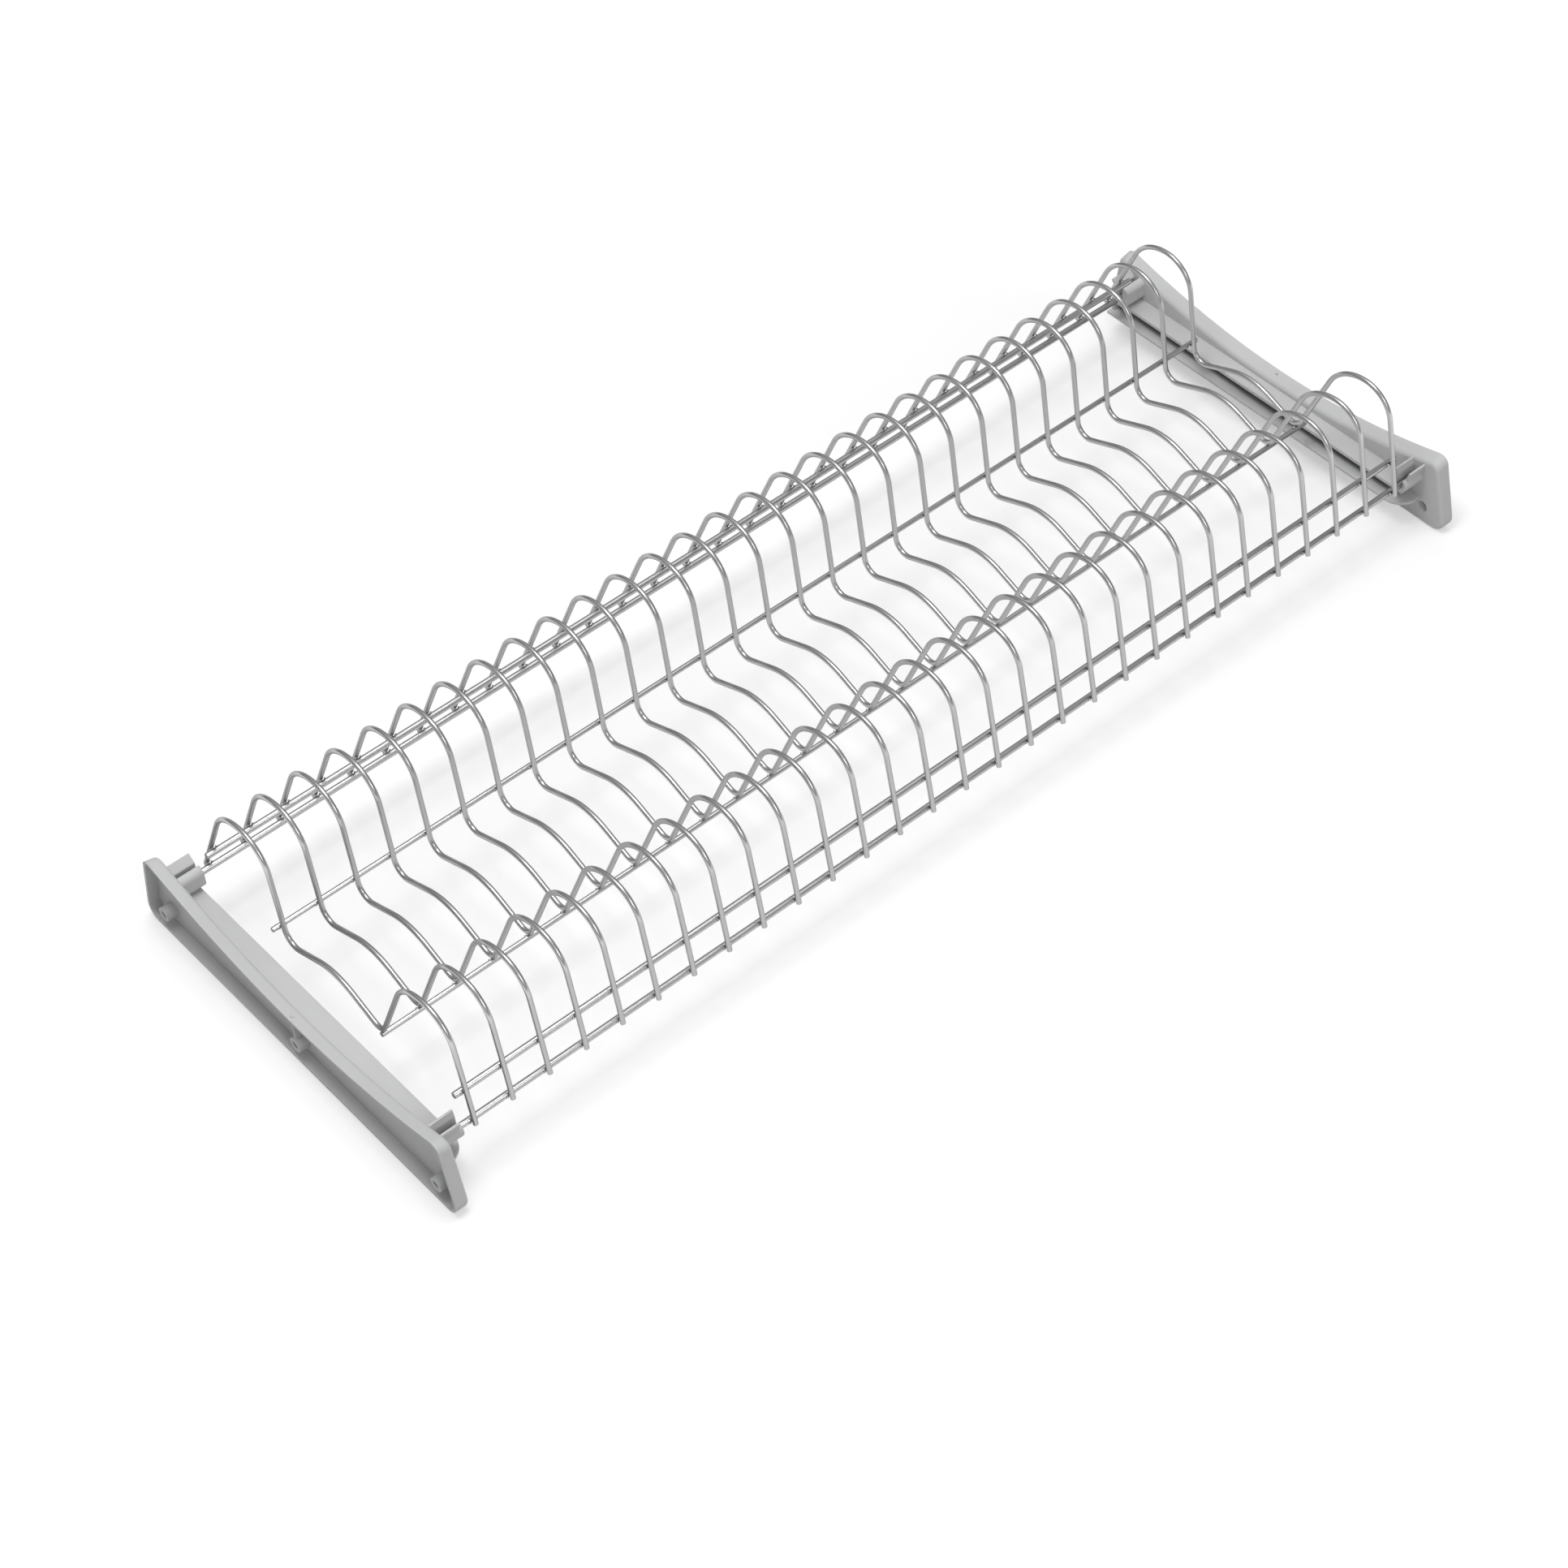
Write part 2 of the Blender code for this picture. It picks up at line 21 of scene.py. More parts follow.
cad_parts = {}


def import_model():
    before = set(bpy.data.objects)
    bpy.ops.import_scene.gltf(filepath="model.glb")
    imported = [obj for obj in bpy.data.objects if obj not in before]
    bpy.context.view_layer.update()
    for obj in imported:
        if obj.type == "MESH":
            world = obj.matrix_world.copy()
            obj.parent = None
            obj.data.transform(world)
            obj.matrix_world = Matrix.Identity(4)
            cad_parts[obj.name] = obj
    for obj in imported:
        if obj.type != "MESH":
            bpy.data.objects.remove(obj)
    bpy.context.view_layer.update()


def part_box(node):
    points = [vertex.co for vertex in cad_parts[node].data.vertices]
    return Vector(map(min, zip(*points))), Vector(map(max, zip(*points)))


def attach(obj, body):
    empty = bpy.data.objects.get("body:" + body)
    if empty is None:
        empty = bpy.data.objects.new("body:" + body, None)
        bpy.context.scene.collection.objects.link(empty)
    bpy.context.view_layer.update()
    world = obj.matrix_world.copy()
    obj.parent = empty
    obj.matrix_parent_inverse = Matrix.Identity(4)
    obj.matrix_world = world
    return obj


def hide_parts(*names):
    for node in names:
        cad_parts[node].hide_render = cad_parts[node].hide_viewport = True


LOG = logging.getLogger("dish_drainer")
RACK_BODY = "rack"
BRACKET_BODY = "brackets"
DRAWN = "drawn"
NEAR = 1e-6
MIX_FACTOR, MIX_FIRST, MIX_SECOND, MIX_RESULT = 0, 6, 7, 2


class Side(Enum):
    """The side of the cabinet that a bracket is screwed to."""

    LEFT = -1
    RIGHT = 1


# Shaders


class Value:
    """A shader's output socket, on which arithmetic adds Math nodes."""

    def __init__(self, graph: "ShaderGraph", socket: NodeSocket) -> None:
        """Hold a socket and the graph that it belongs to."""
        self.graph = graph
        self.socket = socket

    def __add__(self, other: "Number") -> "Value":
        """Add a value or a number."""
        return self.graph.math('ADD', self, other)

    __radd__ = __add__

    def __sub__(self, other: "Number") -> "Value":
        """Take a value or a number away."""
        return self.graph.math('SUBTRACT', self, other)

    def __mul__(self, other: "Number") -> "Value":
        """Multiply by a value or a number."""
        return self.graph.math('MULTIPLY', self, other)


Number = Union[Value, float]
Colour = Union[Value, tuple[float, float, float]]


class ShaderGraph:
    """The nodes of one material or of the world."""

    def __init__(self, owner: Union[Material, World]) -> None:
        """Start with an empty tree.

        Args:
            owner: The material or world that the nodes belong to.
        """
        owner.use_nodes = True
        self.tree = owner.node_tree
        self.tree.nodes.clear()

    def node(self, kind: str, settings: Optional[dict[str, Any]] = None,
             inputs: Optional[dict[Union[str, int], Any]] = None, output: Union[str, int] = 0) -> Value:
        """Add a node.

        Args:
            kind: The node's type.
            settings: What is set on the node itself.
            inputs: Values or links of its sockets, by name or by number.
            output: The output that is handed back.

        Returns:
            The chosen output.
        """
        node = self.tree.nodes.new(kind)
        for name, setting in (settings or {}).items():
            setattr(node, name, setting)
        for name, given in (inputs or {}).items():
            if isinstance(given, Value):
                self.tree.links.new(given.socket, node.inputs[name])
            else:
                node.inputs[name].default_value = given
        return Value(self, node.outputs[output])

    def math(self, operation: str, first: Number, second: Number) -> Value:
        """Add a Math node on two values or numbers."""
        return self.node("ShaderNodeMath", {"operation": operation}, {0: first, 1: second})

    def stretched(self, vector: Value, scale: tuple[float, float, float]) -> Value:
        """Scale a vector along its axes."""
        return self.node("ShaderNodeVectorMath", {"operation": 'MULTIPLY'}, {0: vector, 1: scale})

    def noise(self, vector: Value, scale: float, detail: float) -> Value:
        """Add smooth noise from 0 to 1."""
        return self.node("ShaderNodeTexNoise", None, {"Vector": vector, "Scale": scale, "Detail": detail})

    def ramp(self, value: Value, stops: Iterable[tuple[float, float]]) -> Value:
        """Pass a value through a grey ramp.

        Args:
            value: The value.
            stops: The ramp's stops as (place, grey) pairs, of which a new ramp has two.

        Returns:
            The grey.
        """
        grey = self.node("ShaderNodeValToRGB", None, {"Fac": value})
        elements = grey.socket.node.color_ramp.elements
        for i, (place, level) in enumerate(stops):
            stop = elements[i] if i < 2 else elements.new(place)
            stop.position = place
            stop.color = (level, level, level, 1)
        return grey

    def tinted(self, factor: Value, low: Colour, high: Colour) -> Value:
        """Mix two colours by a factor.

        Args:
            factor: The second colour's share.
            low: The first colour.
            high: The second colour.

        Returns:
            The mixed colour.
        """
        first, second = (given if isinstance(given, Value) else (*given, 1) for given in (low, high))
        return self.node("ShaderNodeMix", {"data_type": 'RGBA'}, {
            MIX_FACTOR: factor, MIX_FIRST: first, MIX_SECOND: second}, output=MIX_RESULT)

    def bump(self, height: Value, distance: float, strength: float) -> Value:
        """Turn a height into a normal."""
        return self.node("ShaderNodeBump", None,
                         {"Height": height, "Distance": distance, "Strength": strength})

    def finish(self, shader: Value, kind: str = "ShaderNodeOutputMaterial") -> None:
        """Link a shader to the tree's output."""
        output = self.tree.nodes.new(kind)
        self.tree.links.new(shader.socket, output.inputs["Surface"])


def shade(colour: tuple[float, float, float], factor: float) -> tuple[float, float, float]:
    """Return a colour made lighter or darker by a factor."""
    return tuple(min(1.0, channel * factor) for channel in colour)


@dataclass(frozen=True)
class DrawnSteel:
    """Bright steel with the fine lengthwise lines that a drawing die leaves."""

    name: str
    colour: tuple[float, float, float]
    roughness: float
    roughness_spread: float = 0.08
    colour_spread: float = 0.05
    edge_tint: tuple[float, float, float] = (0.6, 0.6, 0.6)
    line_stretch: tuple[float, float, float] = (0.045, 1.0, 1.0)
    line_scale: float = 2100.0
    pit_scale: float = 1500.0
    cloud_width: float = 18.0
    wear_shares: tuple[float, float, float] = (0.5, 0.2, 0.3)
    line_height: float = 0.000006
    pit_share: float = 0.5
    bump_strength: float = 0.15

    def make(self) -> Material:
        """Make the material, whose lines follow the drawn attribute of a piece.

        Returns:
            The material.
        """
        material = bpy.data.materials.new(self.name)
        graph = ShaderGraph(material)
        place = graph.node("ShaderNodeAttribute", {"attribute_name": DRAWN}, output="Vector")
        lines = graph.noise(graph.stretched(place, self.line_stretch), self.line_scale, detail=3.0)
        pits = graph.noise(place, self.pit_scale, detail=2.0)
        clouds = graph.noise(place, self.pit_scale / self.cloud_width, detail=2.0)
        worn = lines * self.wear_shares[0] + pits * self.wear_shares[1] + clouds * self.wear_shares[2]
        colour = graph.tinted(worn, shade(self.colour, 1 - self.colour_spread),
                              shade(self.colour, 1 + self.colour_spread))
        roughness = (worn - 0.5) * self.roughness_spread * 2 + self.roughness
        normal = graph.bump(lines + pits * self.pit_share, self.line_height, self.bump_strength)
        graph.finish(graph.node("ShaderNodeBsdfPrincipled", {"distribution": 'GGX'}, {
            "Base Color": colour, "Roughness": roughness, "Metallic": 1.0, "Normal": normal,
            "Specular Tint": (*self.edge_tint, 1)}))
        return material


@dataclass(frozen=True)
class WeldSteel:
    """The duller, slightly rippled skin of a resistance weld."""

    name: str
    colour: tuple[float, float, float]
    roughness: float
    roughness_spread: float = 0.2
    colour_range: tuple[float, float] = (0.8, 1.15)
    ripple_scale: float = 900.0
    ripple_height: float = 0.00005
    bump_strength: float = 0.5

    def make(self) -> Material:
        """Make the material.

        Returns:
            The material.
        """
        material = bpy.data.materials.new(self.name)
        graph = ShaderGraph(material)
        place = graph.node("ShaderNodeTexCoord", output="Object")
        ripples = graph.noise(place, self.ripple_scale, detail=3.0)
        colour = graph.tinted(ripples, *(shade(self.colour, factor) for factor in self.colour_range))
        roughness = ripples * self.roughness_spread + (self.roughness - self.roughness_spread / 2)
        normal = graph.bump(ripples, self.ripple_height, self.bump_strength)
        graph.finish(graph.node("ShaderNodeBsdfPrincipled", None, {
            "Base Color": colour, "Roughness": roughness, "Metallic": 1.0, "Normal": normal}))
        return material


@dataclass(frozen=True)
class MouldedPlastic:
    """Matt grey plastic with the fine grain of an eroded mould, with shade painted into its colour deep in
    the tray's groove.
    """

    name: str
    colour: tuple[float, float, float]
    roughness: float
    roughness_spread: float = 0.12
    colour_range: tuple[float, float] = (0.94, 1.06)
    shine: float = 0.4
    grain_share: float = 0.35
    grain_scale: float = 3400.0
    flow_scale: float = 26.0
    flow_stretch: tuple[float, float, float] = (1.0, 0.22, 1.0)
    grain_height: float = 0.00003
    bump_strength: float = 0.22
    # Where shade is painted into the colour deep in the tray's groove, and how dark it is painted.
    groove_x: tuple[float, float] = (0.3628, 0.3656)
    groove_front: tuple[float, float] = (-0.1200, -0.1040)
    groove_rear: float = 0.1290
    groove_back: float = 0.3735
    groove_z: tuple[float, float] = (0.0185, 0.0262)
    painted_shade_strength: float = 0.55

    def _painted_shade_mask(self, graph: ShaderGraph, place: Value) -> Value:
        """Tell how deep a point lies in the tray's groove, where shade is painted into the colour.

        Args:
            graph: The material's nodes.
            place: The point.

        Returns:
            A value from 0 outside the groove to 1 deep inside it, the share of painted shade.
        """
        spot = {axis: graph.node("ShaderNodeSeparateXYZ", None, {0: place}, output=axis) for axis in "XYZ"}
        away = graph.math('ABSOLUTE', spot["X"], 0.0)
        depth = (away - self.groove_x[0]) * (1 / (self.groove_x[1] - self.groove_x[0]))
        depth = graph.math('MAXIMUM', graph.math('MINIMUM', depth, 1.0), 0.0)
        inside = graph.math('LESS_THAN', away, self.groove_back)
        for limit, test in zip(self.groove_z, ('GREATER_THAN', 'LESS_THAN')):
            inside = inside * graph.math(test, spot["Z"], limit)
        inside = inside * graph.math('LESS_THAN', spot["Y"], self.groove_rear)
        fade = graph.node("ShaderNodeMapRange", {"interpolation_type": 'SMOOTHSTEP'}, {
            "Value": spot["Y"], "From Min": self.groove_front[0], "From Max": self.groove_front[1]})
        return depth * inside * fade

    def make(self) -> Material:
        """Make the material.

        Returns:
            The material.
        """
        material = bpy.data.materials.new(self.name)
        graph = ShaderGraph(material)
        place = graph.node("ShaderNodeTexCoord", output="Object")
        grain = graph.noise(place, self.grain_scale, detail=2.0)
        flow = graph.noise(graph.stretched(place, self.flow_stretch), self.flow_scale, detail=3.0)
        mottle = grain * self.grain_share + flow * (1 - self.grain_share)
        colour = graph.tinted(mottle, *(shade(self.colour, factor) for factor in self.colour_range))
        # Painted shade: the colour is mixed toward black deep in the tray's groove, where shade falls.
        colour = graph.tinted(self._painted_shade_mask(graph, place) * self.painted_shade_strength, colour, (0, 0, 0))
        roughness = (mottle - 0.5) * (self.roughness_spread * 2) + self.roughness
        normal = graph.bump(grain, self.grain_height, self.bump_strength)
        graph.finish(graph.node("ShaderNodeBsdfPrincipled", None, {
            "Base Color": colour, "Roughness": roughness, "Specular IOR Level": self.shine,
            "Normal": normal}))
        return material


WIRE_STEEL = DrawnSteel("drawn_steel_wire", (0.50, 0.50, 0.502), 0.32)
ROD_STEEL = DrawnSteel("drawn_steel_rod", (0.50, 0.50, 0.502), 0.29)
BEAD_STEEL = WeldSteel("weld_bead_steel", (0.50, 0.50, 0.50), 0.34)
GREY_PLASTIC = MouldedPlastic("grey_moulded_plastic", (0.52, 0.523, 0.523), 0.52)


# Mesh helpers


def new_verts(geometry: Iterable[Any]) -> list[BMVert]:
    """Return the vertices among an operator's geometry."""
    return [part for part in geometry if isinstance(part, BMVert)]


def new_faces(geometry: Iterable[Any]) -> list[BMFace]:
    """Return the faces among an operator's geometry."""
    return [part for part in geometry if isinstance(part, BMFace)]


def soften(bm: BMesh, edges: Iterable[BMEdge], width: float, segments: int = 2) -> None:
    """Round edges off.

    Args:
        bm: The mesh under work.
        edges: The edges to round.
        width: How far each rounding reaches into its faces.
        segments: Facets across each rounding.
    """
    bmesh.ops.bevel(bm, geom=list(edges), offset=width, offset_type='OFFSET', affect='EDGES',
                    segments=segments, profile=0.5, material=-1, clamp_overlap=True)


def round_corner(bm: BMesh, corner: BMVert, radius: float, segments: int) -> None:
    """Round one corner of a flat face to a radius.

    Args:
        bm: The mesh under work.
        corner: The corner's vertex, which has two edges.
        radius: The radius of the rounded corner.
        segments: Facets round the corner.
    """
    arms = [edge.other_vert(corner).co - corner.co for edge in corner.link_edges]
    reach = radius / math.tan(arms[0].angle(arms[1]) / 2)
    bmesh.ops.bevel(bm, geom=[corner], offset=reach, offset_type='OFFSET', affect='VERTICES',
                    segments=segments, profile=0.5, material=-1)


def flat_face(bm: BMesh, corners: Iterable[Iterable[float]]) -> BMFace:
    """Start a mesh from the few corners of one flat face."""
    return bm.faces.new([bm.verts.new(corner) for corner in corners])


def push(bm: BMesh, run: Iterable[float]) -> None:
    """Extrude the mesh's only face into a closed solid.

    Args:
        bm: The mesh under work.
        run: How far and which way the face moves.
    """
    grown = bmesh.ops.extrude_face_region(bm, geom=list(bm.faces))["geom"]
    bmesh.ops.translate(bm, vec=Vector(run), verts=new_verts(grown))
    bmesh.ops.recalc_face_normals(bm, faces=bm.faces)


def to_object(bm: BMesh, name: str) -> Object:
    """Write a mesh out as an object at the origin and free the bmesh.

    Args:
        bm: The finished mesh.
        name: The object's name.

    Returns:
        The object.
    """
    mesh = bpy.data.meshes.new(name)
    bm.to_mesh(mesh)
    bm.free()
    obj = bpy.data.objects.new(name, mesh)
    bpy.context.scene.collection.objects.link(obj)
    return obj


def cap_rims(bm: BMesh) -> list[BMEdge]:
    """Return the rims of a bar whose two ends are its only faces with more than four corners."""
    return [edge for edge in bm.edges if any(len(face.verts) > 4 for face in edge.link_faces)]


def dress(obj: Object, material: Material, sharp_above: float) -> None:
    """Give a piece its finish and smooth shading.

    Args:
        obj: The piece.
        material: Its finish.
        sharp_above: The angle in degrees above which an edge stays sharp.
    """
    obj.data.materials.clear()
    obj.data.materials.append(material)
    obj.data.shade_smooth()
    obj.data.set_sharp_from_angle(angle=math.radians(sharp_above))


# The rack


@dataclass(frozen=True)
class Straight:
    """A straight run of a wire to a point (y, z)."""

    end: Vector


@dataclass(frozen=True)
class Bend:
    """A round run of a wire about a centre (y, z), through an angle that is positive anticlockwise."""

    centre: Vector
    end: Vector
    turn: float
    steps: int


@dataclass
class PlateWire:
    """The 29 bent wires that hold the plates apart, in heights from the carrier rods' axes."""

    count: int = 29
    pitch: float = 0.025
    diameter: float = 0.0032
    depth: float = 0.2516
    foot_drop: float = 0.0010
    leaning_radius: float = 0.0313
    steep_radius: float = 0.0212
    rear_crown_share: float = 0.2855
    rear_crown_rise: float = 0.0701
    front_crown_share: float = -0.3816
    front_crown_rise: float = 0.0719
    bend_share: float = 0.1791
    bend_drop: float = 0.0023
    bend_radius: float = 0.0089
    crest_share: float = -0.0114
    crest_rise: float = 0.0172
    crest_radius: float = 0.0413
    valley_share: float = -0.1733
    valley_rise: float = 0.0009
    valley_radius: float = 0.008
    carrier_height: float = 0.0356
    sides: int = 20
    shoulder_steps: int = 16
    bend_steps: int = 10
    run_step: float = 0.006
    end_round: float = 0.0004
    end_steps: int = 3
    sharp_above: float = 50.0
    runs: list[Union[Straight, Bend]] = field(default_factory=list)

    def __post_init__(self) -> None:
        """Lay out the wire's centre line from its rear foot to its front foot."""
        foot = self._at(0.5, -self.foot_drop)
        self.start = foot
        far_foot = self._at(-0.5, -self.foot_drop)
        rear_crown = self._at(self.rear_crown_share, self.rear_crown_rise)
        front_crown = self._at(self.front_crown_share, self.front_crown_rise)
        bend = self._at(self.bend_share, -self.bend_drop)
        crest = self._at(self.crest_share, self.crest_rise)
        valley = self._at(self.valley_share, self.valley_rise)
        rear_inner = self._touch(bend, rear_crown, self.steep_radius, -1)
        front_inner = self._touch(valley, front_crown, self.leaning_radius, 1)
        self._hoop(self._touch(foot, rear_crown, self.leaning_radius, 1), rear_crown, rear_inner)
        self._corner(rear_inner, bend, crest, self.bend_radius)
        self._corner(bend, crest, valley, self.crest_radius)
        self._corner(crest, valley, front_inner, self.valley_radius)
        self._hoop(front_inner, front_crown, self._touch(far_foot, front_crown, self.steep_radius, -1))
        self.runs.append(Straight(far_foot))

    def _at(self, share: float, rise: float) -> Vector:
        """Return the point at a share of the depth and a rise above the carriers."""
        return Vector((self.depth * share, self.carrier_height + rise))

    @staticmethod
    def _touch(point: Vector, crown: Vector, radius: float, side: int) -> Vector:
        """Return where a line from a point touches a shoulder of a hoop.

        Args:
            point: Where the line starts.
            crown: The top of the hoop.
            radius: The radius of the shoulder.
            side: 1 if the shoulder lies on the line's left, or -1.

        Returns:
            The point of touch.
        """
        to_centre = crown - Vector((0, radius)) - point
        lean = Matrix.Rotation(-side * math.asin(radius / to_centre.length), 2)
        reach = math.sqrt(to_centre.length_squared - radius ** 2)
        return point + lean @ to_centre.normalized() * reach

    def _hoop(self, start: Vector, crown: Vector, end: Vector) -> None:
        """Add a straight run up to a hoop and its two shoulders, the one over the slanting leg wider.

        Args:
            start: Where the first shoulder starts.
            crown: The top of the hoop.
            end: Where the second shoulder ends.
        """
        self.runs.append(Straight(start))
        for radius, low, high in ((self.leaning_radius, start, crown), (self.steep_radius, crown, end)):
            centre = crown - Vector((0, radius))
            turn = (high - centre).angle_signed(low - centre)
            self.runs.append(Bend(centre, high, turn, self.shoulder_steps))

    def _corner(self, before: Vector, corner: Vector, after: Vector, radius: float) -> None:
        """Add a straight run up to a rounded corner and the corner itself.

        Args:
            before: The corner before this one.
            corner: The sharp corner that is rounded.
            after: The next corner.
            radius: The radius of the rounded corner.
        """
        back, ahead = (before - corner).normalized(), (after - corner).normalized()
        half = back.angle(ahead) / 2
        centre = corner + (back + ahead).normalized() * radius / math.sin(half)
        start, end = corner + back * radius / math.tan(half), corner + ahead * radius / math.tan(half)
        turn = math.copysign(math.pi - 2 * half, ahead.cross(back))
        self.runs += [Straight(start), Bend(centre, end, turn, self.bend_steps)]

    @staticmethod
    def _extend(bm: BMesh, ring: list[BMEdge], steps: int, length: float, move: Callable[..., Any],
                how: dict[str, Any]) -> list[BMEdge]:
        """Extrude the wire's open end by equal steps.

        Args:
            bm: The mesh under work.
            ring: The edges of the open end.
            steps: How many steps there are.
            length: How far along the wire each step goes.
            move: The operator that moves the new end's vertices by one step.
            how: What the operator is given besides the mesh and the vertices.

        Returns:
            The edges of the new open end.
        """
        drawn = bm.verts.layers.float_vector[DRAWN]
        for _ in range(steps):
            grown = bmesh.ops.extrude_edge_only(bm, edges=ring)["geom"]
            verts = new_verts(grown)
            for vert in verts:
                vert[drawn].x += length
            move(bm, verts=verts, **how)
            fresh = set(verts)
            ring = [part for part in grown
                    if isinstance(part, BMEdge) and fresh.issuperset(part.verts)]
        return ring

    def shape(self) -> Mesh:
        """Make one wire in the plane x = 0.

        Returns:
            Its mesh.
        """
        bm = bmesh.new()
        drawn = bm.verts.layers.float_vector.new(DRAWN)
        way = (self.runs[0].end - self.start).normalized()
        facing = Vector((0, *way)).to_track_quat('Z', 'X').to_matrix().to_4x4()
        place = Matrix.Translation((0, *self.start)) @ facing
        circle = bmesh.ops.create_circle(bm, segments=self.sides, radius=self.diameter / 2)
        for vert in circle["verts"]:
            vert[drawn] = (0, *vert.co.xy)
        bmesh.ops.transform(bm, matrix=place, verts=bm.verts)
        first = list(bm.edges)
        ring, point = first, self.start
        for run in self.runs:
            if isinstance(run, Bend):
                length = (run.end - run.centre).length * abs(run.turn) / run.steps
                ring = self._extend(bm, ring, run.steps, length, bmesh.ops.rotate, {
                    "cent": Vector((0, *run.centre)),
                    "matrix": Matrix.Rotation(run.turn / run.steps, 3, 'X')})
            else:
                steps = max(1, round((run.end - point).length / self.run_step))
                step = Vector((0, *((run.end - point) / steps)))
                ring = self._extend(bm, ring, steps, step.length, bmesh.ops.translate, {"vec": step})
            point = run.end
        for rim in (first, ring):
            bmesh.ops.contextual_create(bm, geom=rim)
        soften(bm, first + ring, self.end_round, self.end_steps)
        bmesh.ops.recalc_face_normals(bm, faces=bm.faces)
        mesh = bpy.data.meshes.new("rack_wire")
        bm.to_mesh(mesh)
        bm.free()
        return mesh

    def build(self, material: Material) -> list[Object]:
        """Place a copy of the wire at each step of the pitch.

        Args:
            material: The wires' finish.

        Returns:
            The wires, from left to right.
        """
        pattern = self.shape()
        wires = []
        for i in range(self.count):
            name = f"rack_wire_{i + 1:02d}"
            mesh = pattern.copy()
            mesh.name = name
            mesh.transform(Matrix.Translation(((i - (self.count - 1) / 2) * self.pitch, 0, 0)))
            wire = bpy.data.objects.new(name, mesh)
            bpy.context.scene.collection.objects.link(wire)
            dress(wire, material, self.sharp_above)
            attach(wire, RACK_BODY)
            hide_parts(f"plate_wire_{i + 1:02d}")
            wires.append(wire)
        bpy.data.meshes.remove(pattern)
        return wires

    def centre_line(self) -> list[Vector]:
        """Follow the wire's centre, with points close together on its bends.

        Returns:
            The points, from the rear foot to the front foot.
        """
        points = [self.start]
        for run in self.runs:
            if isinstance(run, Bend):
                spoke = points[-1] - run.centre
                points += [run.centre + Matrix.Rotation(run.turn * i / run.steps, 2) @ spoke
                           for i in range(1, run.steps + 1)]
            else:
                points.append(run.end)
        return points


class Rod(Enum):
    """The rack's long rods, by the node each stands for."""

    REAR_CARRIER = "rear_carrier_rod"
    FRONT_CARRIER = "front_carrier_rod"
    REAR_UPPER = "rear_upper_rod"
    FRONT_UPPER = "front_upper_rod"
    REAR_REST = "rear_rest_rod"
    VALLEY = "valley_rod"


